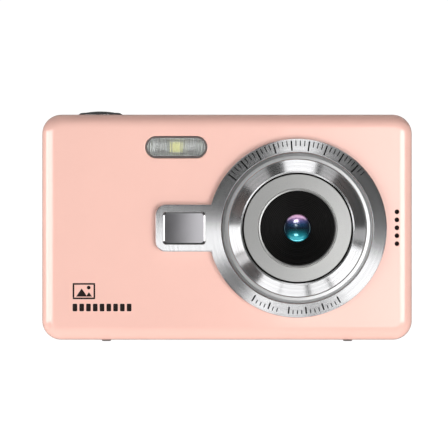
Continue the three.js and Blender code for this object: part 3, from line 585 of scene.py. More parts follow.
def lens_with_painted_reflection(name, centre, radius):
    """Coated glass whose base colour is a painted reflection: lilac at its top, cyan at its bottom and
    dark navy in the middle, with painted shade towards its left and right edges. Its reflections of the
    lamps are tinted by height in the same way.
    """
    m = Nodes(name)
    parts = m.add("ShaderNodeSeparateXYZ", Vector=m.place())
    height = m.math("SUBTRACT", parts.outputs["Z"], centre.z * MM)
    share = m.math("MULTIPLY_ADD", height, 0.5 / (radius * MM), 0.5)
    # Painted reflection: the base colour runs from cyan at the bottom through dark navy to lilac at the
    # top.
    painted_reflection_colours = ((0.14, (0.03, 0.58, 0.72)), (0.36, (0.001, 0.12, 0.15)), (0.49, (0.0, 0.0, 0.012)))
    painted_reflection_colours += ((0.64, (0.004, 0.06, 0.17)), (0.76, (0.16, 0.16, 0.45)), (0.95, (0.95, 0.5, 0.8)))
    # Painted shade: the colour darkens towards the glass's left and right edges.
    aside = m.math("DIVIDE", m.math("SUBTRACT", parts.outputs["X"], centre.x * MM), radius * MM)
    painted_side_shade = m.math("MULTIPLY_ADD", m.math("MULTIPLY", aside, aside), -1.7, 1.15)
    shade = m.add("ShaderNodeMix", {"data_type": "RGBA", "clamp_factor": True})
    m.feed(shade.inputs[0], painted_side_shade)
    m.feed(shade.inputs[6], (0.0, 0.006, 0.025, 1))
    m.feed(shade.inputs[7], m.ramp(share, *painted_reflection_colours))
    m.link("Base Color", shade.outputs[2])
    gleam = ((0.15, (0.25, 0.9, 1.0)), (0.4, (0.4, 0.95, 1.0)))
    gleam += ((0.62, (0.75, 0.9, 1.0)), (0.85, (1.0, 0.66, 0.95)))
    m.link("Specular Tint", m.ramp(share, *gleam))
    m.rough(m.noise(m.place(), 500, 2), 0.10, 0.14)
    m.set(Specular_IOR_Level=1.0, IOR=1.9, Coat_Weight=0.5, Coat_Roughness=0.02)
    return m.material


def clear_glass(name, color, roughness=0.05):
    m = Nodes(name)
    place = m.place()
    m.rough(m.noise(place, 600, 2), roughness * 0.6, roughness * 1.5)
    m.shades(m.noise(place, 150, 2), color, tint(color, 0.97))
    m.set(Transmission_Weight=1.0, IOR=1.49)
    return m.material


def circuit(name, color):
    """Solder mask over copper tracks that run in steps."""
    m = Nodes(name)
    place = m.place()
    grid = m.add("ShaderNodeTexBrick", Vector=m.vector("MULTIPLY", place, (1, 0, 1)), Scale=420.0)
    grid.inputs["Mortar Size"].default_value = 0.03
    grid.inputs["Color1"].default_value = (*tint(color, 0.9), 1)
    grid.inputs["Color2"].default_value = (*tint(color, 1.15), 1)
    grid.inputs["Mortar"].default_value = (*tint(color, 1.9), 1)
    m.link("Base Color", grid.outputs["Color"])
    m.rough(m.noise(place, 200, 2), 0.3, 0.42)
    m.link("Normal", m.bump(grid.outputs["Fac"], 0.2, 0.00003))
    return m.material


def screen_glass(name, low, high, inset):
    """Black glass over a display whose lit area is a touch lighter than the frame round it."""
    m = Nodes(name)
    parts = m.add("ShaderNodeSeparateXYZ", Vector=m.place())
    edges = []
    for axis, a, b in (("X", low.x, high.x), ("Z", low.z, high.z)):
        centre, half = (a + b) / 2 * MM, (b - a) / 2 * MM - inset * MM
        away = m.math("ABSOLUTE", m.math("SUBTRACT", parts.outputs[axis], centre))
        edges.append(m.math("LESS_THAN", away, half))
    lit = m.math("MULTIPLY", *edges)
    m.link("Base Color", m.ramp(lit, (0.0, (0.004, 0.004, 0.005)), (1.0, (0.016, 0.018, 0.022))))
    m.rough(m.noise(m.place(), 150, 3), 0.03, 0.06)
    m.set(Specular_IOR_Level=0.5, Coat_Weight=0.5, Coat_Roughness=0.02)
    return m.material


pieces_of = {}  # material name to the pieces made of it

PINK = (0.93, 0.565, 0.485)
SILVER = (0.76, 0.76, 0.77)
lens_centre = (LENS.x, 0, LENS.z)
shutter_middle = middle("shutter_button")

MATERIALS = {
    "pink": paint("pink_lacquer", PINK, 0.32),
    "plate": spun_metal("spun_plate", SILVER, lens_centre, dish=12),
    "cone": spun_metal("spun_cone", tint(SILVER, 1.1), lens_centre),
    "step": frosted_ring("frosted_step", (0.84, 0.84, 0.84), lens_centre, 3),
    "face": frosted_ring("frosted_face", (0.62, 0.62, 0.61), lens_centre, 3),
    "mirror": polished("mirror", (0.80, 0.785, 0.82), 0.32),
    "bevel": polished("bevel", (0.86, 0.86, 0.87), 0.25),
    "chrome": polished("chrome", (0.86, 0.86, 0.87), 0.07),
    "shutter": spun_metal("spun_shutter", (0.85, 0.85, 0.86), shutter_middle, "Z", 0.2, 0.5),
    "steel": satin_metal("steel", (0.5, 0.51, 0.52), 0.34),
    "pin": satin_metal("pin_steel", (0.62, 0.62, 0.63), 0.22, 0.05),
    "brass": satin_metal("brass", (0.72, 0.56, 0.3), 0.3, 0.08),
    "key": satin_metal("silver_key", (0.70, 0.69, 0.68), 0.36, 0.12),
    "black": plastic("black_plastic", (0.016, 0.016, 0.018), 0.55),
    "baffle": ribbed_black("baffle_black", lens_centre),
    "flash_rim": plastic("flash_rim", (0.13, 0.105, 0.10), 0.42, 0.15),
    "flash_glass": clear_glass("flash_glass", (0.97, 0.98, 0.975), 0.3),
    "reflector": satin_metal("reflector", (0.88, 0.89, 0.88), 0.5, 0.05),
    "phosphor": painted_glow("phosphor", (0.95, 0.93, 0.40), 0.35),
    "white": plastic("white_board", (0.78, 0.78, 0.76), 0.5, 0.05, variation=0.03),
    "lens": lens_with_painted_reflection("lens_with_painted_reflection", LENS, GLASS),
    "inner_glass": clear_glass("inner_glass", (0.6, 0.75, 0.95), 0.02),
    "screen": screen_glass("screen_glass", *span("screen_window"), 3.9),
    "panel": plastic("screen_panel", (0.02, 0.02, 0.024), 0.35, 0.05),
    "ink": plastic("dark_ink", (0.014, 0.009, 0.008), 0.7, 0.05, variation=0.08, specular=0.15),
    "etch": plastic("etched_mark", (0.004, 0.004, 0.004), 0.8, 0.05, variation=0.08, specular=0.1),
    "green": circuit("solder_mask", (0.015, 0.12, 0.05)),
    "chip": plastic("chip", (0.018, 0.018, 0.02), 0.45, 0.2, 1800),
    "film": plastic("polyimide", (0.45, 0.18, 0.03), 0.3, 0.05),
    "wrap": plastic("battery_wrap", (0.035, 0.045, 0.07), 0.35, 0.05),
    "label": plastic("battery_label", (0.55, 0.57, 0.6), 0.35, 0.05, variation=0.04),
    "rubber": plastic("rubber", (0.10, 0.085, 0.08), 0.75, 0.5, 2200),
}


def use(piece, material, body="housing", replaces=()):
    """Finishes a new piece: its material, its body, and the CAD nodes it stands for."""
    pieces_of.setdefault(material, []).append(piece)
    piece.data.materials.clear()
    piece.data.materials.append(MATERIALS[material])
    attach(piece, body)
    if replaces:
        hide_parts(*replaces)
    return piece


# ---- Casing ----


def casing_outline(steps=12):
    return rounded_rect((0, MIDDLE_Z), WIDTH, HEIGHT, CORNER, steps)


def casing_half(name, seam_y, face_y):
    """One half of the casing as a dish: rounded outside, hollow, and open at the seam."""
    way = 1 if face_y > seam_y else -1
    ease = 0.1
    outer = [(-ease, seam_y), (-ease * 0.3, seam_y + way * ease * 0.3), (0, seam_y + way * ease)]
    outer += crowned(seam_y + way * 2 * ease, face_y, EDGE, 14)
    shell = loft(name, casing_outline(), outer)
    inner_edge = EDGE - WALL
    inner = [(-WALL, seam_y - way)]
    for i in range(7):
        a = i / 6 * pi / 2
        inset = WALL + inner_edge * (1 - cos(a))
        inner.append((-inset, face_y - way * (WALL + inner_edge * (1 - sin(a)))))
    return boolean(shell, [loft("hollow", casing_outline(6), inner)])


def front_cover():
    shell = casing_half("front_cover_skin", SEAM_Y - SEAM_GAP, FACE_Y)
    depth = WALL + 1
    centre, width, height = extent("flash_bezel")
    slot = pill(centre, width + 0.16, height + 0.16)
    tools = [
        loft("lens_hole", circle(LENS_AXIS, LENS_HOLE), mouth(FACE_Y, 1, depth)),
        loft("flash_hole", slot, mouth(FACE_Y, 1, depth, 0.3)),
    ]
    for i in range(-2, 3):
        hole = circle((SPEAKER_X, LENS.z + 0.1 + i * SPEAKER_PITCH), SPEAKER_RADIUS, 32)
        tools.append(loft("grille_hole", hole, mouth(FACE_Y, 1, depth, 0.12)))
    use(even_shading(boolean(shell, tools)), "pink", "housing", ["front_cover"])


def screw_mouth(plane, centre, surface, inward):
    return loft("screw_hole", circle(centre, 1.8, 40), mouth(surface, inward, 1.2, 0.15), plane)


def rear_housing():
    shell = casing_half("rear_housing_skin", SEAM_Y + SEAM_GAP, BACK_Y)
    boolean(shell, [strap_block()], "UNION")
    even_shading(boolean(shell, rear_cutters() + top_cutters() + bottom_cutters() + side_cutters()))
    use(shell, "pink", "housing", ["rear_housing"])


def strap_span():
    """Lowest and highest corner of the pocket that the strap pin crosses."""
    pin_low, pin_high = span("strap_pin")
    pin = middle("strap_pin")
    half = (pin_high.z - pin_low.z) / 2 - 0.9
    return (-WIDTH / 2, pin.y - 2.5, pin.z - half), (-WIDTH / 2 + 3.6, pin.y + 2.5, pin.z + half)


def strap_block():
    low, high = strap_span()
    centre = ((low[1] + high[1]) / 2, (low[2] + high[2]) / 2)
    outline = rounded_rect(centre, high[1] - low[1] + 2, high[2] - low[2] + 2.8, 0.4, 2)
    return loft("strap_block", outline, [(0, low[0] + WALL - 0.5), (0, high[0] + 1)], YZ)


def key_outline(node, gap=0.0):
    low, high = KEYS[node]
    centre = ((low.x + high.x) / 2, (low.z + high.z) / 2)
    return pill(centre, high.x - low.x + 2 * gap, high.z - low.z + 2 * gap)


def rear_cutters():
    centre, width, height = extent("screen_window")
    glass = rounded_rect(centre, width + 0.24, height + 0.24, 1.6)
    view = rounded_rect(centre, width - 7.6, height - 6.6, 0.8, 4)
    tools = [
        loft("screen_recess", glass, mouth(BACK_Y, -1, 1.0, 0.18)),
        loft("screen_view", view, [(0, BACK_Y - 0.5), (0, BACK_Y - WALL - 1)]),
        loft("nav_hole", circle((KEY_X, NAV_Z), NAV_OUTER + 0.15, 96), mouth(BACK_Y, -1, 3)),
    ]
    for node in KEYS:
        gap = 0.28 if node == "zoom_rocker" else 0.15
        tools.append(loft("key_hole", key_outline(node, gap), mouth(BACK_Y, -1, 3)))
    return tools


def top_cutters():
    tools = []
    for node, radius, steps, rim in (
        ("shutter_button", SHUTTER_HOLE, 64, 0.15),
        ("power_button", POWER_HOLE, 64, 0.25),
        ("microphone", 0.45, 32, 0.12),
    ):
        hole = circle(extent(node, "xy")[0], radius, steps)
        tools.append(loft("top_hole", hole, mouth(TOP_Z, -1, 3, rim), XY))
    return tools


def door_outline(gap=0.0):
    centre, width, depth = extent("battery_door", "xy")
    return rounded_rect(centre, width + 2 * gap, depth + 2 * gap, 0.25 + gap, 4)


def foot_outline(node, gap=0.0):
    centre, width, depth = extent(node, "xy")
    return pill(centre, width + 2 * gap, depth + 2 * gap)


def bottom_cutters():
    bush, _, _ = extent("tripod_bush", "xy")
    tools = [
        loft("doorway", door_outline(0.14), mouth(BOTTOM_Z, 1, 3, 0.12), XY),
        loft("bush_hole", circle(bush, 4.68), mouth(BOTTOM_Z, 1, 3, 0.15), XY),
    ]
    for node in ("foot_left", "foot_right"):
        pocket = mouth(BOTTOM_Z, 1, 0.5, 0.1)
        tools.append(loft("foot_pocket", foot_outline(node, 0.08), pocket, XY))
    for node in ("screw_bottom_left", "screw_bottom_right"):
        tools.append(screw_mouth(XY, extent(node, "xy")[0], BOTTOM_Z, 1))
    return tools


def side_cutters():
    low, high = strap_span()
    centre = ((low[1] + high[1]) / 2, (low[2] + high[2]) / 2)
    pocket = rounded_rect(centre, high[1] - low[1], high[2] - low[2], 0.6)
    usb, width, height = extent("usb_socket", "yz")
    port = pill(usb, width + 0.2, height + 0.2)
    tools = [
        loft("strap_pocket", pocket, mouth(-WIDTH / 2, 1, 3.6, 0.3), YZ),
        loft("usb_port", port, mouth(WIDTH / 2, -1, 3, 0.2), YZ),
    ]
    for node, side in (("screw_side_left", -1), ("screw_side_right", 1)):
        tools.append(screw_mouth(YZ, extent(node, "yz")[0], side * WIDTH / 2, -side))
    return tools


# ---- Lens and trim ----


def lens_ring_plate():
    left = span("lens_ring_plate")[0].x
    outline = ring_and_tab(LENS_AXIS, RING_OUTER, left, TAB_HEIGHT, TAB_CORNER)
    plate = loft("ring_plate", outline, crowned(SEAT_Y, RING_FRONT_Y, 0.32, 5))
    bore, window = circle(LENS_AXIS, RING_INNER, 128), badge_outline(BADGE_GAP)
    tools = [
        loft("ring_bore", bore, mouth(RING_FRONT_Y, 1, 4, 0.2)),
        loft("badge_window", window, mouth(RING_FRONT_Y, 1, 4, 0.06)),
    ]
    use(even_shading(boolean(plate, tools)), "plate", "housing", ["lens_ring_plate"])


def badge_outline(gap=0.0):
    centre, width, height = extent("front_badge")
    return rounded_rect(centre, width + 2 * gap - 0.6, height + 2 * gap - 0.6, 0.8)


def columns(name, centre, width, height, corner, front, back, count):
    """A closed pane with rounded corners whose front is at depth front(x), x from its middle."""
    half, tall = width / 2, height / 2
    bm = bmesh.new()
    rows = []
    for i in range(count + 1):
        x = -half * cos(pi * i / count) if corner > 0 else -half + width * i / count
        past = max(0, abs(x) - (half - corner))
        top = tall - corner + max(sqrt(max(0, corner**2 - past**2)), 0.02)
        corners = [(top, front(x)), (-top, front(x)), (-top, back), (top, back)]
        rows.append([bm.verts.new(XZ(centre[0] + x, centre[1] + z, y)) for z, y in corners])
    add_skin(bm, rows)
    return finished(bm, name, radians(60))


def front_badge():
    """A mirror that bulges a little from left to right."""
    low, high = span("front_badge")
    centre, width, height = extent("front_badge")
    bulge = 0.32

    def front(x):
        return low.y + 0.05 + bulge * (2 * x / width) ** 2

    piece = columns("badge_mirror", centre, width, height, 0.9, front, high.y, 48)
    use(piece, "mirror", "housing", ["front_badge"])


def badge_bezel():
    """The polished bevel between the tab and the mirror."""
    front, outer, inner = RING_FRONT_Y, BADGE_GAP - 0.03, -0.02
    lip = outer - 0.03
    ring = loft("badge_bevel", badge_outline(), [(outer, front + 0.55), (outer, front + 0.02)])
    slope = [(lip, front - 0.2), (lip, front + 0.02), (inner, front + 0.3), (inner, front + 1)]
    boolean(ring, [loft("bevel", badge_outline(), slope)])
    use(even_shading(ring, radians(25)), "bevel", "housing", ())


def lens_rings():
    place = about_y(LENS_AXIS)
    step_y = FACE_Y - 2.3
    profile = [
        (STEP_INNER, SEAT_Y, 0),
        (STEP_OUTER, SEAT_Y, 0),
        (STEP_OUTER, FACE_Y - 1.3, 0.1),
        (STEP_OUTER - 0.75, step_y + 0.1, 0.2),
        (STEP_INNER, step_y, 0.08),
    ]
    piece = turned("step_ring", profile, place)
    use(even_shading(piece), "step", "housing", ["lens_step_ring"])

    profile = [
        (CONE_INNER, SEAT_Y, 0),
        (CONE_OUTER, SEAT_Y, 0),
        (CONE_OUTER, FACE_Y - 2.2, 0.15),
        (CONE_INNER + 0.45, CREST_Y, 0.25),
        (CONE_INNER, CREST_Y + 0.15, 0.1),
    ]
    piece = turned("cone_ring", profile, place)
    use(even_shading(piece), "cone", "housing", ["lens_cone_ring"])

    front = CREST_Y + 0.5
    profile = [
        (FACE_INNER, front + 1.4, 0),
        (FACE_OUTER, front + 1.4, 0),
        (FACE_OUTER, front, 0.1),
        (FACE_INNER + 0.72, front, 0.05),
        (FACE_INNER + 0.62, front + 0.3, 0),
        (FACE_INNER + 0.5, front + 0.3, 0),
        (FACE_INNER + 0.42, front - 0.02, 0.05),
        (FACE_INNER, front + 0.2, 0.06),
    ]
    piece = turned("face_ring", profile, place)
    use(even_shading(piece), "face", "housing", ["lens_face_ring"])

    # Painted shade: a matt black ring fills the gap between the face ring and the cone, where the gap
    # would be dark.
    profile = [
        (FACE_OUTER + 0.03, front + 1.4, 0),
        (CONE_INNER - 0.03, front + 1.4, 0),
        (CONE_INNER - 0.03, front + 0.02, 0.05),
        (FACE_OUTER + 0.03, front + 0.02, 0.05),
    ]
    use(turned("gap_shade_ring", profile, place), "baffle", "housing", ())


def lens_baffle():
    """A black cone cut into many fine steps, with a thin rim round its mouth."""
    low, high = span("lens_baffle")
    rim, floor = low.y, low.y + 4.3
    steps = 13
    outer, inner = FACE_INNER - 0.45, GLASS + 0.15
    edge = FACE_INNER - 0.05
    profile = [(edge, rim, 0.05), (edge, rim + 1.5, 0), (4.9, high.y, 0)]
    profile += [(inner, high.y, 0), (inner, floor, 0.04)]
    for i in range(steps):
        radius = inner + (outer - inner) * (i + 1) / steps
        y = floor - (floor - rim) * (i + 1) / steps
        profile.append((radius - 0.08, y + (floor - rim) / steps, 0.02))
        profile.append((radius, y, 0.05))
    piece = turned("baffle", profile, about_y(LENS_AXIS), steps=2)
    use(piece, "baffle", "housing", ["lens_baffle"])


def lens_glass():
    """The front element: a domed front and a flat back."""
    low, high = span("front_lens")
    radius, steps, sag = GLASS - 0.02, 12, 0.85
    points = [(0, low.y + sag - sag * 0.72)]
    for i in range(1, steps + 1):
        dome = sqrt(max(0, 1 - (i / steps) ** 2 * 0.92))
        points.append((radius * i / steps, low.y + sag - sag * dome + sag * 0.28))
    points.append((radius, high.y))
    points += [(radius * (i - 1) / steps, high.y) for i in range(steps, 0, -1)]
    piece = smooth_turned("front_glass", points, about_y(LENS_AXIS), 60)
    use(piece, "lens", "housing", ["front_lens"])


# ---- Flash ----


def flash():
    low, high = span("flash_bezel")
    centre, width, height = extent("flash_bezel")
    rim = 0.42
    bezel = loft("flash_rim", pill(centre, width, height), crowned(high.y, low.y, 0.12, 3))
    opening = pill(centre, width - 2 * rim, height - 2 * rim)
    boolean(bezel, [loft("flash_opening", opening, mouth(low.y, 1, 3, 0.12))])
    use(even_shading(bezel), "flash_rim", "housing", ["flash_bezel"])
    flash_window(centre, width - 2 * rim - 0.1, height - 2 * rim - 0.1)
    flash_reflector()
    flash_emitter()


def flash_window(centre, width, height):
    """Clear plastic whose front is fluted from top to bottom."""
    low, high = span("flash_window")
    flutes, depth = 23, 0.2

    def front(x):
        return low.y + depth * (1 - abs(sin(pi * flutes * (x / width + 0.5))))

    piece = columns("flash_glass", centre, width, height, height / 2, front, high.y, flutes * 8)
    use(piece, "flash_glass", "housing", ["flash_window"])


def flash_reflector():
    """A tray whose sides curve up round a slot for the emitter."""
    low, high = span("flash_reflector")
    centre, width, height = extent("flash_reflector")
    outline = rounded_rect(centre, width, height, 0.5, 4)
    tray = loft("flash_tray", outline, [(0, high.y), (0, low.y)])
    hollow = rounded_rect(centre, width - 0.6, height - 0.6, 0.9, 6)
    slot = rounded_rect(centre, 4, 3.9, 0.3, 3)
    bowl = [(0, low.y - 1), (0, low.y + 0.05), (-0.25, low.y + 0.6)]
    bowl += [(-0.7, low.y + 1.0), (-1.3, low.y + 1.25)]
    tools = [
        loft("tray_hollow", hollow, bowl),
        loft("tray_slot", slot, [(0, low.y - 1), (0, high.y + 1)]),
    ]
    use(even_shading(boolean(tray, tools)), "reflector", "housing", ["flash_reflector"])


def flash_emitter():
    """The light source: a yellow square in a white frame on its board."""
    low, high = span("flash_led")
    centre, width, height = extent("flash_led")
    for name, outline, stations, material, replaced in (
        ("flash_board", (width, height, 0.3, 3), (high.y, high.y - 0.7, 0.06, 2), "green", ["flash_led"]),
        ("flash_package", (3.5, 3.5, 0.25, 4), (high.y - 0.71, low.y + 0.14, 0.1, 3), "white", ()),
        ("flash_chip", (2.7, 2.7, 0.35, 6), (low.y + 0.13, low.y, 0.08, 3), "phosphor", ()),
    ):
        piece = loft(name, rounded_rect(centre, *outline), crowned(*stations))
        use(piece, material, "housing", replaced)


# ---- Buttons on the top ----


def top_controls():
    place = about_z(extent("shutter_button", "xy")[0])
    low, high = span("shutter_bezel")
    outer = (high.x - low.x) / 2
    profile = [
        (SHUTTER_HOLE, low.z, 0),
        (outer, low.z, 0.05),
        (outer - 0.75, low.z + 0.5, 0.25),
        (4.85, high.z, 0.12),
        (SHUTTER_HOLE, high.z - 0.15, 0.1),
    ]
    bezel = turned("shutter_collar", profile, place)
    use(even_shading(bezel), "chrome", "housing", ["shutter_bezel"])
    shutter_button(place)
    shutter_spring(middle("shutter_button"))
    power_button()


def shutter_button(place):
    low, high = span("shutter_button")
    radius, edge = SHUTTER_HOLE - 0.15, high.z - 0.55
    flange, under = (high.x - low.x) / 2, TOP_Z - FLANGE_DROP
    profile = [
        (0, low.z),
        (1.2, low.z),
        (1.2, under - 0.6),
        (flange, under - 0.6),
        (flange, under),
        (radius, under),
        (radius, edge - 0.1),
    ]
    profile += shoulder(radius, edge - 0.1, 0.45, 0.32)
    rise = high.z - edge - 0.22
    profile += crown(radius - 0.45, edge + 0.22, rise, [i / 12 for i in range(1, 12)])
    profile.append((0, high.z))
    piece = smooth_turned("shutter_cap", profile, place)
    use(piece, "shutter", "shutter_button", ["shutter_button"])


def shutter_spring(spot):
    """A round-wire spring with closed ends. It rides with the housing, on a mesh of its own."""
    low, high = span("shutter_spring")
    wire, mean, turns = 0.2, 3.9, 4.5
    bottom, top = low.z + wire + 0.02, high.z - wire - 0.65
    steps, sides = 180, 8
    bm = bmesh.new()
    rings = []
    for i in range(steps + 1):
        share = i / steps
        angle = share * turns * 2 * pi
        rise = min(max((share - 0.12) / 0.76, 0), 1)
        z = bottom + (top - bottom) * rise
        ring = []
        for k in range(sides):
            a = 2 * pi * k / sides
            r = mean + wire * cos(a)
            point = (spot.x + r * cos(angle), spot.y + r * sin(angle), z + wire * sin(a))
            ring.append(bm.verts.new(XY(*point)))
        rings.append(ring)
    add_skin(bm, rings)
    piece = finished(bm, "return_spring", radians(70))
    use(piece, "steel", "housing", ["shutter_spring"])
    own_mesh(piece)


def power_button():
    low, high = span("power_button")
    centre, width, _ = extent("power_button", "xy")
    flange, under = width / 2, TOP_Z - FLANGE_DROP
    radius, top = POWER_HOLE - 0.15, high.z
    profile = [
        (0, low.z, 0),
        (1, low.z, 0),
        (1, under - 0.6, 0),
        (flange, under - 0.6, 0),
        (flange, under, 0),
        (radius, under, 0),
        (radius, top, 0.25),
        (radius - 0.7, top, 0.2),
        (radius - 1.0, top - 0.1, 0.2),
        (0, top - 0.14, 0),
    ]
    piece = turned("power_cap", profile, about_z(centre), 96)
    use(even_shading(piece), "chrome", "power_button", ["power_button"])
    mark = power_mark(centre, 1.05, top - 0.09)
    use(mark, "etch", "power_button", ())


def power_mark(centre, radius, z):
    """The usual sign for on and off: an open ring and a bar."""
    width, opening = 0.11, radians(38)
    ring = open_ring(centre, radius + width, radius - width, pi / 2 + opening, 2.5 * pi - opening, 28)
    line = rounded_rect((centre[0], centre[1] + radius * 0.72), 2 * width, radius * 0.95, 0.08, 3)
    return marks("power_mark", [ring, line], [(0, z - 0.06), (0, z)], XY)


# ---- Keys on the back ----

NAV_Z = middle("ok_button").z
FLANGE = 0.7  # how far a key's flange reaches past its cap
SMALL_KEYS = ["mode_button", "menu_button", "play_button", "delete_button"]


def cap_span(node, flange):
    """The visible cap of a key: the node without the flange round it."""
    low, high = span(node)
    grow = Vector((flange, 0, flange))
    return low + grow, high - grow


KEYS = {node: cap_span(node, FLANGE) for node in SMALL_KEYS}
KEYS["zoom_rocker"] = span("zoom_rocker")


def joined(name, outlines):
    """One solid from several (outline, stations) lofts along Y."""
    bodies = [loft(name + str(i), o, s) for i, (o, s) in enumerate(outlines)]
    whole = boolean(bodies[0], bodies[1:], "UNION")
    whole.name = name
    return even_shading(whole)


def rear_key(node, cap, flange, centre, fillet):
    """A key on the back: its cap, the flange behind the wall, and a stem towards its switch."""
    back = BACK_Y - FLANGE_DROP
    body = [
        (cap, crowned(back - 0.2, KEY_TOP_Y, fillet, 6)),
        (flange, [(0, back - 0.55), (0, back)]),
        (circle(centre, 0.9, 24), [(0, span(node)[0].y), (0, back - 0.4)]),
    ]
    use(joined(node + "_cap", body), "key", node, [node])


def small_keys():
    for node in SMALL_KEYS:
        cap_low, cap_high = KEYS[node]
        centre, width, height = extent(node)
        cap = pill(centre, cap_high.x - cap_low.x, cap_high.z - cap_low.z)
        rear_key(node, cap, pill(centre, width, height), centre, 0.3)
        use(KEY_MARKS[node](centre), "etch", node, ())


MARK_RISE = 0.015
MARK_STATIONS = [(0, KEY_TOP_Y - 0.1), (0, KEY_TOP_Y + MARK_RISE)]


def marks(name, outlines, stations=None, plane=XZ):
    bm = bmesh.new()
    for outline in outlines:
        add_loft(bm, outline, stations or MARK_STATIONS, plane)
    return finished(bm, name)


def polygon(points):
    return lambda offset=0: points


def open_ring(centre, outer, inner, start, stop, steps):
    """A ring with a gap in it."""
    points = arc(centre, outer, start, stop, steps) + arc(centre, inner, stop, start, steps)
    return polygon(points)


def bar(centre, width, height):
    return rounded_rect(centre, width, height, min(width, height) / 2 - 0.005, 3)


def play_mark(centre):
    """A play triangle. Seen from behind, +X is on the left."""
    x, z = centre
    return marks("play_mark", [polygon([(x - 0.75, z), (x + 0.55, z + 0.8), (x + 0.55, z - 0.8)])])


def menu_mark(centre):
    x, z = centre
    return marks("menu_mark", [bar((x, z + dz), 2.2, 0.3) for dz in (0.65, 0, -0.65)])


def mode_mark(centre):
    """A round dial with a dot."""
    ring = open_ring(centre, 0.95, 0.7, 0.3, 2 * pi - 0.3, 28)
    return marks("mode_mark", [ring, circle(centre, 0.28, 20)])


def delete_mark(centre):
    """A bin with a lid."""
    x, z = centre
    pail = [(x - 0.6, z + 0.4), (x - 0.45, z - 0.9), (x + 0.45, z - 0.9), (x + 0.6, z + 0.4)]
    lid, handle = bar((x, z + 0.68), 1.7, 0.24), bar((x, z + 0.95), 0.6, 0.2)
    return marks("delete_mark", [polygon(pail), lid, handle])


KEY_MARKS = {
    "mode_button": mode_mark,
    "menu_button": menu_mark,
    "play_button": play_mark,
    "delete_button": delete_mark,
}


def navigation_pad():
    centre = (KEY_X, NAV_Z)
    reach = (NAV_INNER + NAV_OUTER) / 2
    tip = 0.62
    for quarter, name in enumerate(["nav_left_key", "nav_up_key", "nav_right_key", "nav_down_key"]):
        angle = quarter * pi / 2
        spot = (KEY_X + reach * cos(angle), NAV_Z + reach * sin(angle))
        cap = sector(centre, angle, NAV_INNER, NAV_OUTER, 0.4)
        flange = sector(centre, angle, NAV_INNER + 0.2, NAV_OUTER + 1, 0.7)
        rear_key(name, cap, flange, spot, 0.28)
        out, side = Vector((cos(angle), sin(angle))), Vector((-sin(angle), cos(angle)))
        here = Vector(spot)
        heel = here - out * tip * 0.5
        arrow = [here + out * tip, heel + side * tip * 1.15, heel - side * tip * 1.15]
        mark = marks(name + "_mark", [polygon([tuple(p) for p in arrow])])
        use(mark, "etch", name, ())
    ok_button(centre)


def ok_button(centre):
    low, high = span("ok_button")
    top = high.y
    flange = (high.x - low.x) / 2
    profile = [(0, low.y), (flange, low.y), (flange, low.y + 0.4)]
    profile += [(OK_RADIUS, low.y + 0.4), (OK_RADIUS, top - 0.3)]
    dish = 0.3
    profile += shoulder(OK_RADIUS, top - 0.3, 0.3, 0.3)
    profile += crown(OK_RADIUS - 0.6, top, -dish, [i / 10 for i in range(11)])
    piece = smooth_turned("ok_cap", profile, about_y(centre))
    use(piece, "key", "ok_button", ["ok_button"])
    level = top - dish
    ring = open_ring(centre, 0.95, 0.7, 0, 1.98 * pi, 40)
    shapes = [ring, circle(centre, 0.3, 20)]
    mark = marks("ok_mark", shapes, [(0, level - 0.1), (0, level + 0.04)])
    use(mark, "etch", "ok_button", ())


def zoom_rocker():
    low, _ = span("zoom_rocker")
    centre, width, height = extent("zoom_rocker")
    body = [(pill(centre, width, height), crowned(9.7, KEY_TOP_Y, 0.35, 6))]
    for dx in (-5.2, 5.2):
        body.append((circle((centre[0] + dx, centre[1]), 0.8, 24), [(0, low.y + 0.8), (0, 9.9)]))
    piece = joined("rocker_cap", body)
    bottom, top = centre[1] - 1.9, centre[1] + 1.9
    profile = [(0.56, bottom, 0), (1.2, bottom, 0.1), (1.2, top, 0.1), (0.56, top, 0)]
    knuckle = turned("knuckle", profile, about_z(extent("rocker_pin", "xy")[0]), 48)
    piece.modifiers.clear()
    even_shading(boolean(piece, [knuckle], "UNION"))
    use(piece, "key", "zoom_rocker", ["zoom_rocker"])
    # Seen from behind, wide is on the left (+X) and tele on the right.
    wide, tele = centre[0] + 4.6, centre[0] - 4.6
    z = centre[1]
    shapes = [bar((wide, z), 1.7, 0.3), bar((tele, z), 1.7, 0.3)]
    shapes += [bar((tele, z + 0.5), 0.3, 0.7), bar((tele, z - 0.5), 0.3, 0.7)]
    shapes.append(rounded_rect((centre[0], z), 0.5, 1.8, 0.24, 4))
    use(marks("rocker_marks", shapes), "etch", "zoom_rocker", ())


# ---- Screen, sockets, door, feet and screws ----


def screen():
    low, high = span("screen_window")
    outline = rounded_rect(*extent("screen_window"), 1.5)
    piece = loft("screen_pane", outline, crowned(low.y, high.y, 0.18, 5))
    use(even_shading(piece), "screen", "housing", ["screen_window"])


def usb_socket():
    low, high = span("usb_socket")
    centre, width, height = extent("usb_socket", "yz")
    shell = loft("usb_shell", pill(centre, width, height), crowned(low.x, high.x, 0.12, 3), YZ)
    inner = pill(centre, width - 0.7, height - 0.7)
    boolean(shell, [loft("usb_mouth", inner, mouth(high.x, -1, high.x - low.x - 1, 0.1), YZ)])
    use(even_shading(shell), "pin", "housing", ["usb_socket"])
    tongue = rounded_rect(centre, 0.7, 6.4, 0.15, 3)
    piece = loft("usb_tongue", tongue, crowned(low.x + 0.9, high.x - 0.9, 0.15, 3), YZ)
    use(piece, "black", "housing", ())
    strips = [
        rounded_rect((centre[0] + side * 0.36, centre[1] + (i - 5.5) * 0.5), 0.06, 0.26, 0.02, 2)
        for i in range(12)
        for side in (-1, 1)
    ]
    contacts = marks("usb_contacts", strips, [(0, low.x + 1.5), (0, high.x - 1.3)], YZ)
    use(contacts, "brass", "housing", ())


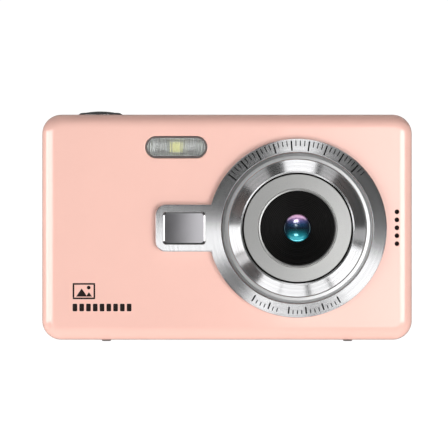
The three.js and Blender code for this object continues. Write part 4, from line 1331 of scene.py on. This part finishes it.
def battery_door():
    """The hinged door: rounded at the hinge, with grip ridges at its free end."""
    low, high = DOOR_LOW, DOOR_HIGH
    thick = 2 * HINGE_RADIUS
    middle_y, size_y = (low.y + high.y) / 2, high.y - low.y
    hinge_x, hinge_z = high.x - HINGE_RADIUS, low.z + HINGE_RADIUS

    def section(offset=0):
        """The door's section in X and Z: straight, with a half circle at the hinge."""
        r = HINGE_RADIUS + offset
        points = arc((hinge_x, hinge_z), r, -pi / 2, pi / 2, 16)
        points += arc((low.x + 0.3 - offset, hinge_z + r - 0.3), 0.3, pi / 2, pi, 4)
        points += arc((low.x + 0.3 - offset, hinge_z - r + 0.3), 0.3, pi, 1.5 * pi, 4)
        return points

    ends = [(-0.12, low.y), (-0.035, low.y + 0.035), (0, low.y + 0.12)]
    ends += [(0, high.y - 0.12), (-0.035, high.y - 0.035), (-0.12, high.y)]
    door = loft("door_skin", section, ends)
    pin = middle("door_pin")
    tools = [loft("pin_bore", circle((pin.x, pin.z), 0.42, 32), [(0, low.y - 1), (0, high.y + 1)])]
    cut = [(0.06, low.z - 1), (0.06, low.z), (0, low.z + 0.1), (-0.1, low.z + 0.22)]
    for i in range(6):
        groove = pill((low.x + 2.2 + i * 0.9, middle_y), 0.42, size_y * 0.5, 10)
        tools.append(loft("grip_groove", groove, cut, XY))
    even_shading(boolean(door, tools))
    use(door, "pink", "battery_door", ["battery_door"])
    ribs = marks(
        "door_ribs",
        [rounded_rect((x, middle_y), 0.8, size_y - 2, 0.2, 3) for x in (-24, -15, -6)],
        [(0, low.z + thick - 0.1), (0, high.z)],
        XY,
    )
    use(ribs, "pink", "battery_door", ())


def tripod_bush():
    """A brass bush with a real 20-turns-to-the-inch thread in its bore."""
    low, high = span("tripod_bush")
    spot = middle("tripod_bush")
    bore, outer, flange = 3.1, 4.6, (high.x - low.x) / 2
    pitch, deep = 1.27, 5.5
    crest, root = bore, bore + 0.62
    bm = bmesh.new()
    around_count, along = 48, 64
    angles = [2 * pi * i / around_count for i in range(around_count)]
    rings = []
    for j in range(along + 1):
        z = low.z + deep * j / along
        ring = []
        for i, a in enumerate(angles):
            phase = ((z - low.z) / pitch - i / around_count) % 1
            wave = 1 - abs(2 * phase - 1)
            ease = min(1, (z - low.z) / 0.5)
            r = root - (root - crest) * wave * ease
            ring.append(bm.verts.new(XY(spot.x + r * cos(a), spot.y + r * sin(a), z)))
        rings.append(ring)

    def shell_ring(radius, z):
        return [
            bm.verts.new(XY(spot.x + radius * cos(a), spot.y + radius * sin(a), z)) for a in angles
        ]

    base = low.z
    outside = [(root + 0.12, base), (outer - 0.12, base), (outer, base + 0.12)]
    outside += [(outer, base + 1.75), (flange, base + 1.75)]
    outside += [(flange, base + 2.6), (outer, base + 2.6), (outer, high.z)]
    loops = [shell_ring(r, z) for r, z in outside]
    add_skin(bm, list(reversed(rings)) + loops)
    use(finished(bm, "threaded_bush", radians(50)), "brass", "housing", ["tripod_bush"])


def strap_pin():
    low, high = span("strap_pin")
    profile = [(0, low.z, 0), (0.8, low.z, 0.1), (0.8, high.z, 0.1), (0, high.z, 0)]
    piece = turned("strap_bar", profile, about_z(extent("strap_pin", "xy")[0]), 48)
    use(piece, "pin", "housing", ["strap_pin"])


def feet():
    for node in ("foot_left", "foot_right"):
        low, high = span(node)
        piece = loft(node + "_pad", foot_outline(node), crowned(high.z, low.z, 0.35, 6), XY)
        use(even_shading(piece), "rubber", "housing", [node])


def screws():
    """Pan-head screws with a cross recess. Each looks out of its hole."""
    for node, axes, out in (
        ("screw_bottom_left", "xy", -1),
        ("screw_bottom_right", "xy", -1),
        ("screw_side_left", "yz", -1),
        ("screw_side_right", "yz", 1),
    ):
        low, high = span(node)
        end = high if out > 0 else low
        centre, _, _ = extent(node, axes)
        top, plane, place = (end.z, XY, about_z) if axes == "xy" else (end.x, YZ, about_x)
        head = [(0, 0, 0), (1.1, 0.02, 0.3), (1.6, 0.3, 0.15), (1.6, 0.8, 0.05)]
        shank = [(0.8, 0.8, 0), (0.8, 5.4, 0), (0.4, 5.9, 0), (0, 5.9, 0)]
        profile = [(r, top - out * depth, ease) for r, depth, ease in head + shank]
        piece = turned(node + "_head", profile, place(centre), 48)
        recess = [(0.05, top + out), (0.05, top), (-0.12, top - out * 0.45)]
        cross = []
        for w, h in ((0.42, 1.9), (1.9, 0.42)):
            cross.append(loft("slot", rounded_rect(centre, w, h, 0.08, 2), recess, plane))
        use(even_shading(boolean(piece, cross)), "steel", "housing", [node])


def battery():
    low, high = span("battery")
    outline = rounded_rect(*extent("battery", "xy"), 1.1, 8)
    stations = [(-0.35, low.z), (-0.1, low.z + 0.1), (0, low.z + 0.35)]
    stations += [(0, high.z - 0.35), (-0.1, high.z - 0.1), (-0.35, high.z)]
    piece = even_shading(loft("battery_pack", outline, stations, XY))
    use(piece, "wrap", "housing", ["battery"])


# ---- Printed and engraved marks ----

def ring_ticks():
    """A focusing scale: radial ticks in two arcs on the flat ring."""
    middle_radius = 22.3
    shapes = []
    scales = [(90 + 52, 90 - 50, 34, 1.35), (238, 256, 6, 0.95), (264, 300, 12, 0.95)]
    for start, stop, count, half in scales:
        for i in range(count + 1):
            angle = radians(start + (stop - start) * i / count)
            long = half if i % 4 == 0 else half * 0.55
            wide = 0.2 if i % 4 == 0 else 0.13
            out, side = Vector((cos(angle), sin(angle))), Vector((-sin(angle), cos(angle)))
            centre = Vector(LENS_AXIS)
            a, b = middle_radius + half - 2 * long, middle_radius + half
            corners = [(a, -wide), (b, -wide), (b, wide), (a, wide)]
            shapes.append(polygon([tuple(centre + out * r + side * s) for r, s in corners]))
    scale = marks("ring_scale", shapes, [(0, RING_FRONT_Y + 0.05), (0, RING_FRONT_Y - LIFT)])
    use(scale, "etch", "housing", ())


def face_print():
    """A picture sign over a row of level bars, low on the left of the face."""
    left, top = -41.7, 15.75
    size = top - 11.4
    width, rim = size * 1.4, 0.45
    x, z = left + width / 2, top - size / 2
    shapes = []
    for dz in (-1, 1):
        shapes.append(rounded_rect((x, z + dz * (size - rim) / 2), width, rim, 0.2, 3))
    for dx in (-1, 1):
        spot = (x + dx * (width - rim) / 2, z)
        shapes.append(rounded_rect(spot, rim, size - 2 * rim + 0.02, 0.02, 2))
    base = z - size / 2 + rim + 0.25
    for start, stop, peak, rise in ((-2.1, 0.9, -0.6, 2.2), (0.55, 2.2, 1.35, 1.2)):
        shapes.append(polygon([(x + start, base), (x + stop, base), (x + peak, base + rise)]))
    shapes.append(circle((x + 1.3, z + 0.95), 0.5, 24))
    bars, pitch = 9, 1.83
    for i in range(bars):
        shapes.append(rounded_rect((left + 0.62 + i * pitch, 9.15), 1.25, 2.05, 0.25, 3))
    piece = marks("face_print", shapes, [(0, FACE_Y + 0.05), (0, FACE_Y - LIFT)])
    use(piece, "ink", "housing", ())


# ---- CAD nodes that keep their shape ----

KEPT = {
    "chassis": "black",
    "lens_barrel": "black",
    "lens_cell": "black",
    "sensor_holder": "black",
    "middle_lens": "inner_glass",
    "rear_lens": "inner_glass",
    "ir_filter": "inner_glass",
    "image_sensor": "chip",
    "speaker": "black",
    "microphone": "pin",
    "switch_board": "green",
    "key_board": "green",
    "main_board": "green",
    "main_processor": "chip",
    "screen_module": "panel",
    "screen_ribbon": "film",
    "battery_contacts": "brass",
    "card_slot": "steel",
    "memory_card": "chip",
    "door_pin": "pin",
    "rocker_pin": "pin",
}


def finish_kept_nodes():
    for node, material in KEPT.items():
        data = NODES[node].data
        data.materials.clear()
        data.materials.append(MATERIALS[material])


# ---- Studio ----

FRAME_WIDTH = 121.6  # what the picture takes in, across
AIM = (-0.81, 0, MIDDLE_Z + 0.86)
DISTANCE = 1500.0


def camera():
    data = bpy.data.cameras.new("camera")
    data.sensor_width = 36
    data.lens = 36 * DISTANCE / FRAME_WIDTH
    data.clip_start, data.clip_end = 0.01, 20
    made = bpy.data.objects.new("camera", data)
    made.location = Vector((AIM[0], -DISTANCE, AIM[2])) * MM
    made.rotation_euler = (pi / 2, 0, 0)
    bpy.context.scene.collection.objects.link(made)
    bpy.context.scene.camera = made


def softbox(name, aim, toward, distance, width, height, radiance):
    """A rectangular light that faces a point, seen from it in the direction given. Its width is
    level, and radiance is how bright its face is."""
    data = bpy.data.lights.new(name, "AREA")
    data.shape = "RECTANGLE"
    data.size, data.size_y = width, height
    data.energy = radiance * pi * width * height
    made = bpy.data.objects.new(name, data)
    made.location = Vector(aim) * MM + toward * distance
    made.rotation_euler = toward.to_track_quat("Z", "Y").to_euler()
    bpy.context.scene.collection.objects.link(made)
    return made


def bearing(azimuth, elevation):
    """A direction in degrees: azimuth 0 is the front, and 90 is the viewer's right."""
    a, e = radians(azimuth), radians(elevation)
    return Vector((sin(a) * cos(e), -cos(a) * cos(e), sin(e)))


def only_for(light, pieces, state="INCLUDE"):
    """Makes a light fall on these pieces alone, or on all but these."""
    group = bpy.data.collections.new(light.name + "_falls_on")
    for piece in pieces:
        group.objects.link(piece)
    for item in group.collection_objects:
        item.light_linking.link_state = state
    light.light_linking.receiver_collection = group


def wedge(clock, spread, near, beside, pieces):
    """Light for the spun metal from one side of the lens, given as an hour on a clock face: one
    softbox near the camera and one beside the lens, each with its radiance. spread is their width
    in hours."""
    turn = clock * pi / 6
    out = Vector((sin(turn), 0, cos(turn)))
    for name, off_axis, radiance in (("near", 27, near), ("beside", 72, beside)):
        if radiance == 0:
            continue
        t = radians(off_axis)
        toward = out * sin(t) - Vector((0, cos(t), 0))
        width = 2 * sin(t) * tan(spread * pi / 12)
        light = softbox(f"metal_{clock}_{name}", LENS, toward, 1.0, width, 0.7, radiance)
        side = out.cross(toward).normalized()
        axes = Matrix((side, toward.cross(side), toward)).transposed()
        light.rotation_euler = axes.to_euler()
        only_for(light, pieces)


def studio():
    bpy.context.scene.view_settings.view_transform = "Standard"
    lacquer, mirror, bevel, glass = (pieces_of[name] for name in ("pink", "mirror", "bevel", "lens"))
    spun = pieces_of["plate"] + pieces_of["cone"]
    frosted = pieces_of["step"] + pieces_of["face"]
    chrome = pieces_of["chrome"] + pieces_of["shutter"]
    light_casing(lacquer, spun + mirror + bevel + glass, frosted, chrome)
    light_lens(spun, frosted, glass)
    light_badge(mirror, bevel)
    shutter = middle("shutter_button")
    tops = softbox("controls_light", shutter, bearing(-6, 24), 1.0, 0.5, 0.35, 1.2)
    only_for(tops, chrome)
    world_light(0.06, 1.05)
    table()


def light_casing(lacquer, rings, frosted, chrome):
    """Two lights in front and two behind. The lacquer sees each as a broad soft light and as a
    strip that alone shows in its gloss; the other pieces see one softbox."""
    centre = (0, 0, MIDDLE_Z)
    for name, azimuth, elevation, distance, width, height, radiance, gloss, spared in (
        ("left", -56, -13, 1.0, 1.25, 0.92, 3.05, (4, 0.35, 3.05), rings + frosted),
        ("right", 34, -13, 1.0, 0.74, 0.92, 3.8, (4, 0.35, 3.8), rings),
        ("back", 180, 48, 1.1, 1.4, 0.7, 2.8, (48, 0.7, 0.5), chrome),
        ("rear", 165, 24, 1.2, 1.2, 0.8, 1.5, (24, 0.8, 0.3), chrome),
    ):
        toward = bearing(azimuth, elevation)
        key = softbox(name + "_key", centre, toward, distance, width, height, radiance)
        only_for(key, lacquer + spared, "EXCLUDE")
        soft = softbox(name + "_soft", centre, toward, distance, width, height, radiance * 1.2)
        soft.visible_glossy = False
        only_for(soft, lacquer)
        high, tall, strength = gloss
        above = bearing(azimuth, high)
        strip = softbox(name + "_gloss", centre, above, distance, width, tall, strength)
        strip.visible_diffuse = False
        only_for(strip, lacquer)
    sheen = softbox("right_sheen", centre, bearing(7, 0), 1.0, 0.15, 0.16, 2.6)
    sheen.visible_diffuse = False
    only_for(sheen, lacquer)


def light_lens(spun, frosted, glass):
    """The bright and dark sectors of the spun rings, and the gleams in the glass."""
    for clock, spread, near, beside in (
        (12.1, 1.0, 1.1, 1.5),
        (3.2, 0.4, 0.0, 0.5),
        (4.25, 1.4, 1.5, 1.6),
        (5.3, 0.6, 0.4, 1.4),
        (6.1, 0.8, 0.8, 1.4),
        (6.85, 0.7, 1.2, 1.5),
        (8.0, 0.3, 0.1, 0.9),
        (8.65, 0.9, 1.4, 1.5),
        (10.7, 0.8, 0.0, 0.45),
        (1.0, 0.5, 0.1, 0.55),
    ):
        wedge(clock, spread, near, beside, spun)
    fill = softbox("front_fill", LENS, bearing(0, 0), 1.7, 1.7, 1.7, 0.2)
    only_for(fill, frosted)
    for name, azimuth, elevation, width, height, radiance in (
        ("glass_crown", -2, 42, 1.3, 0.5, 1.6),
        ("glass_high", -2, 15.4, 0.16, 0.12, 11.0),
        ("glass_middle", -2, 5.8, 0.055, 0.055, 5.0),
        ("glass_low", -2, -14.6, 0.12, 0.08, 9.0),
        ("glass_body", -2, -28, 0.8, 0.25, 0.8),
        ("glass_foot", -2, -47, 0.85, 0.12, 6.0),
        ("glass_left", -52, -2, 0.16, 1.2, 0.7),
        ("glass_right", 52, -2, 0.16, 1.2, 0.7),
    ):
        toward = bearing(azimuth, elevation)
        only_for(softbox(name, LENS, toward, 1.0, width, height, radiance), glass)


def light_badge(mirror, bevel):
    badge = middle("front_badge")
    for name, azimuth, elevation, radiance in (
        ("bevel_left", -78, 0, 2.8),
        ("bevel_right", 78, 0, 2.8),
        ("bevel_top", 0, -82, 0.22),
    ):
        toward = bearing(azimuth, elevation)
        only_for(softbox(name, badge, toward, 1.0, 1.0, 0.45, radiance), bevel)
    only_for(softbox("badge_panel", badge, bearing(24, 0), 1.0, 0.85, 0.8, 0.85), mirror)


def world_light(ambient, backdrop):
    """Even light all round, and a white backdrop where the camera looks straight at it."""
    world = bpy.data.worlds.new("studio")
    world.use_nodes = True
    bpy.context.scene.world = world
    nodes, links = world.node_tree.nodes, world.node_tree.links
    path = nodes.new("ShaderNodeLightPath")
    level = nodes.new("ShaderNodeMapRange")
    level.inputs["To Min"].default_value = ambient
    level.inputs["To Max"].default_value = backdrop
    background = nodes["Background"]
    background.inputs["Color"].default_value = (1, 1, 0.995, 1)
    links.new(path.outputs["Is Camera Ray"], level.inputs["Value"])
    links.new(level.outputs["Result"], background.inputs["Strength"])


def table():
    """A pale floor that bounces light and takes no part in the metal's reflections. It lies low
    enough for the battery door to swing open above it."""
    half = 1.1
    level = -(DOOR_HIGH.x - DOOR_LOW.x) * MM
    corners = [(-half, -half), (half, -half), (half, half), (-half, half)]
    bm = bmesh.new()
    bm.faces.new([bm.verts.new((x, y, level)) for x, y in corners])
    mesh = bpy.data.meshes.new("table")
    bm.to_mesh(mesh)
    bm.free()
    piece = bpy.data.objects.new("table", mesh)
    bpy.context.scene.collection.objects.link(piece)
    m = Nodes("pale_table")
    cloud = m.noise(m.place(), 8, 2)
    m.shades(cloud, (0.88, 0.88, 0.875), (0.9, 0.9, 0.895))
    m.set(Roughness=0.9, Emission_Color=(1, 1, 0.995, 1))
    seen = m.add("ShaderNodeLightPath").outputs["Is Camera Ray"]
    m.link("Emission Strength", m.between(seen, 0.2, 0.9))
    mesh.materials.append(m.material)
    piece.visible_glossy = piece.visible_shadow = False


camera()
front_cover()
rear_housing()
lens_ring_plate()
front_badge()
badge_bezel()
lens_rings()
lens_baffle()
lens_glass()
flash()
top_controls()
small_keys()
navigation_pad()
zoom_rocker()
screen()
usb_socket()
battery_door()
tripod_bush()
strap_pin()
feet()
screws()
battery()
ring_ticks()
face_print()
finish_kept_nodes()
studio()
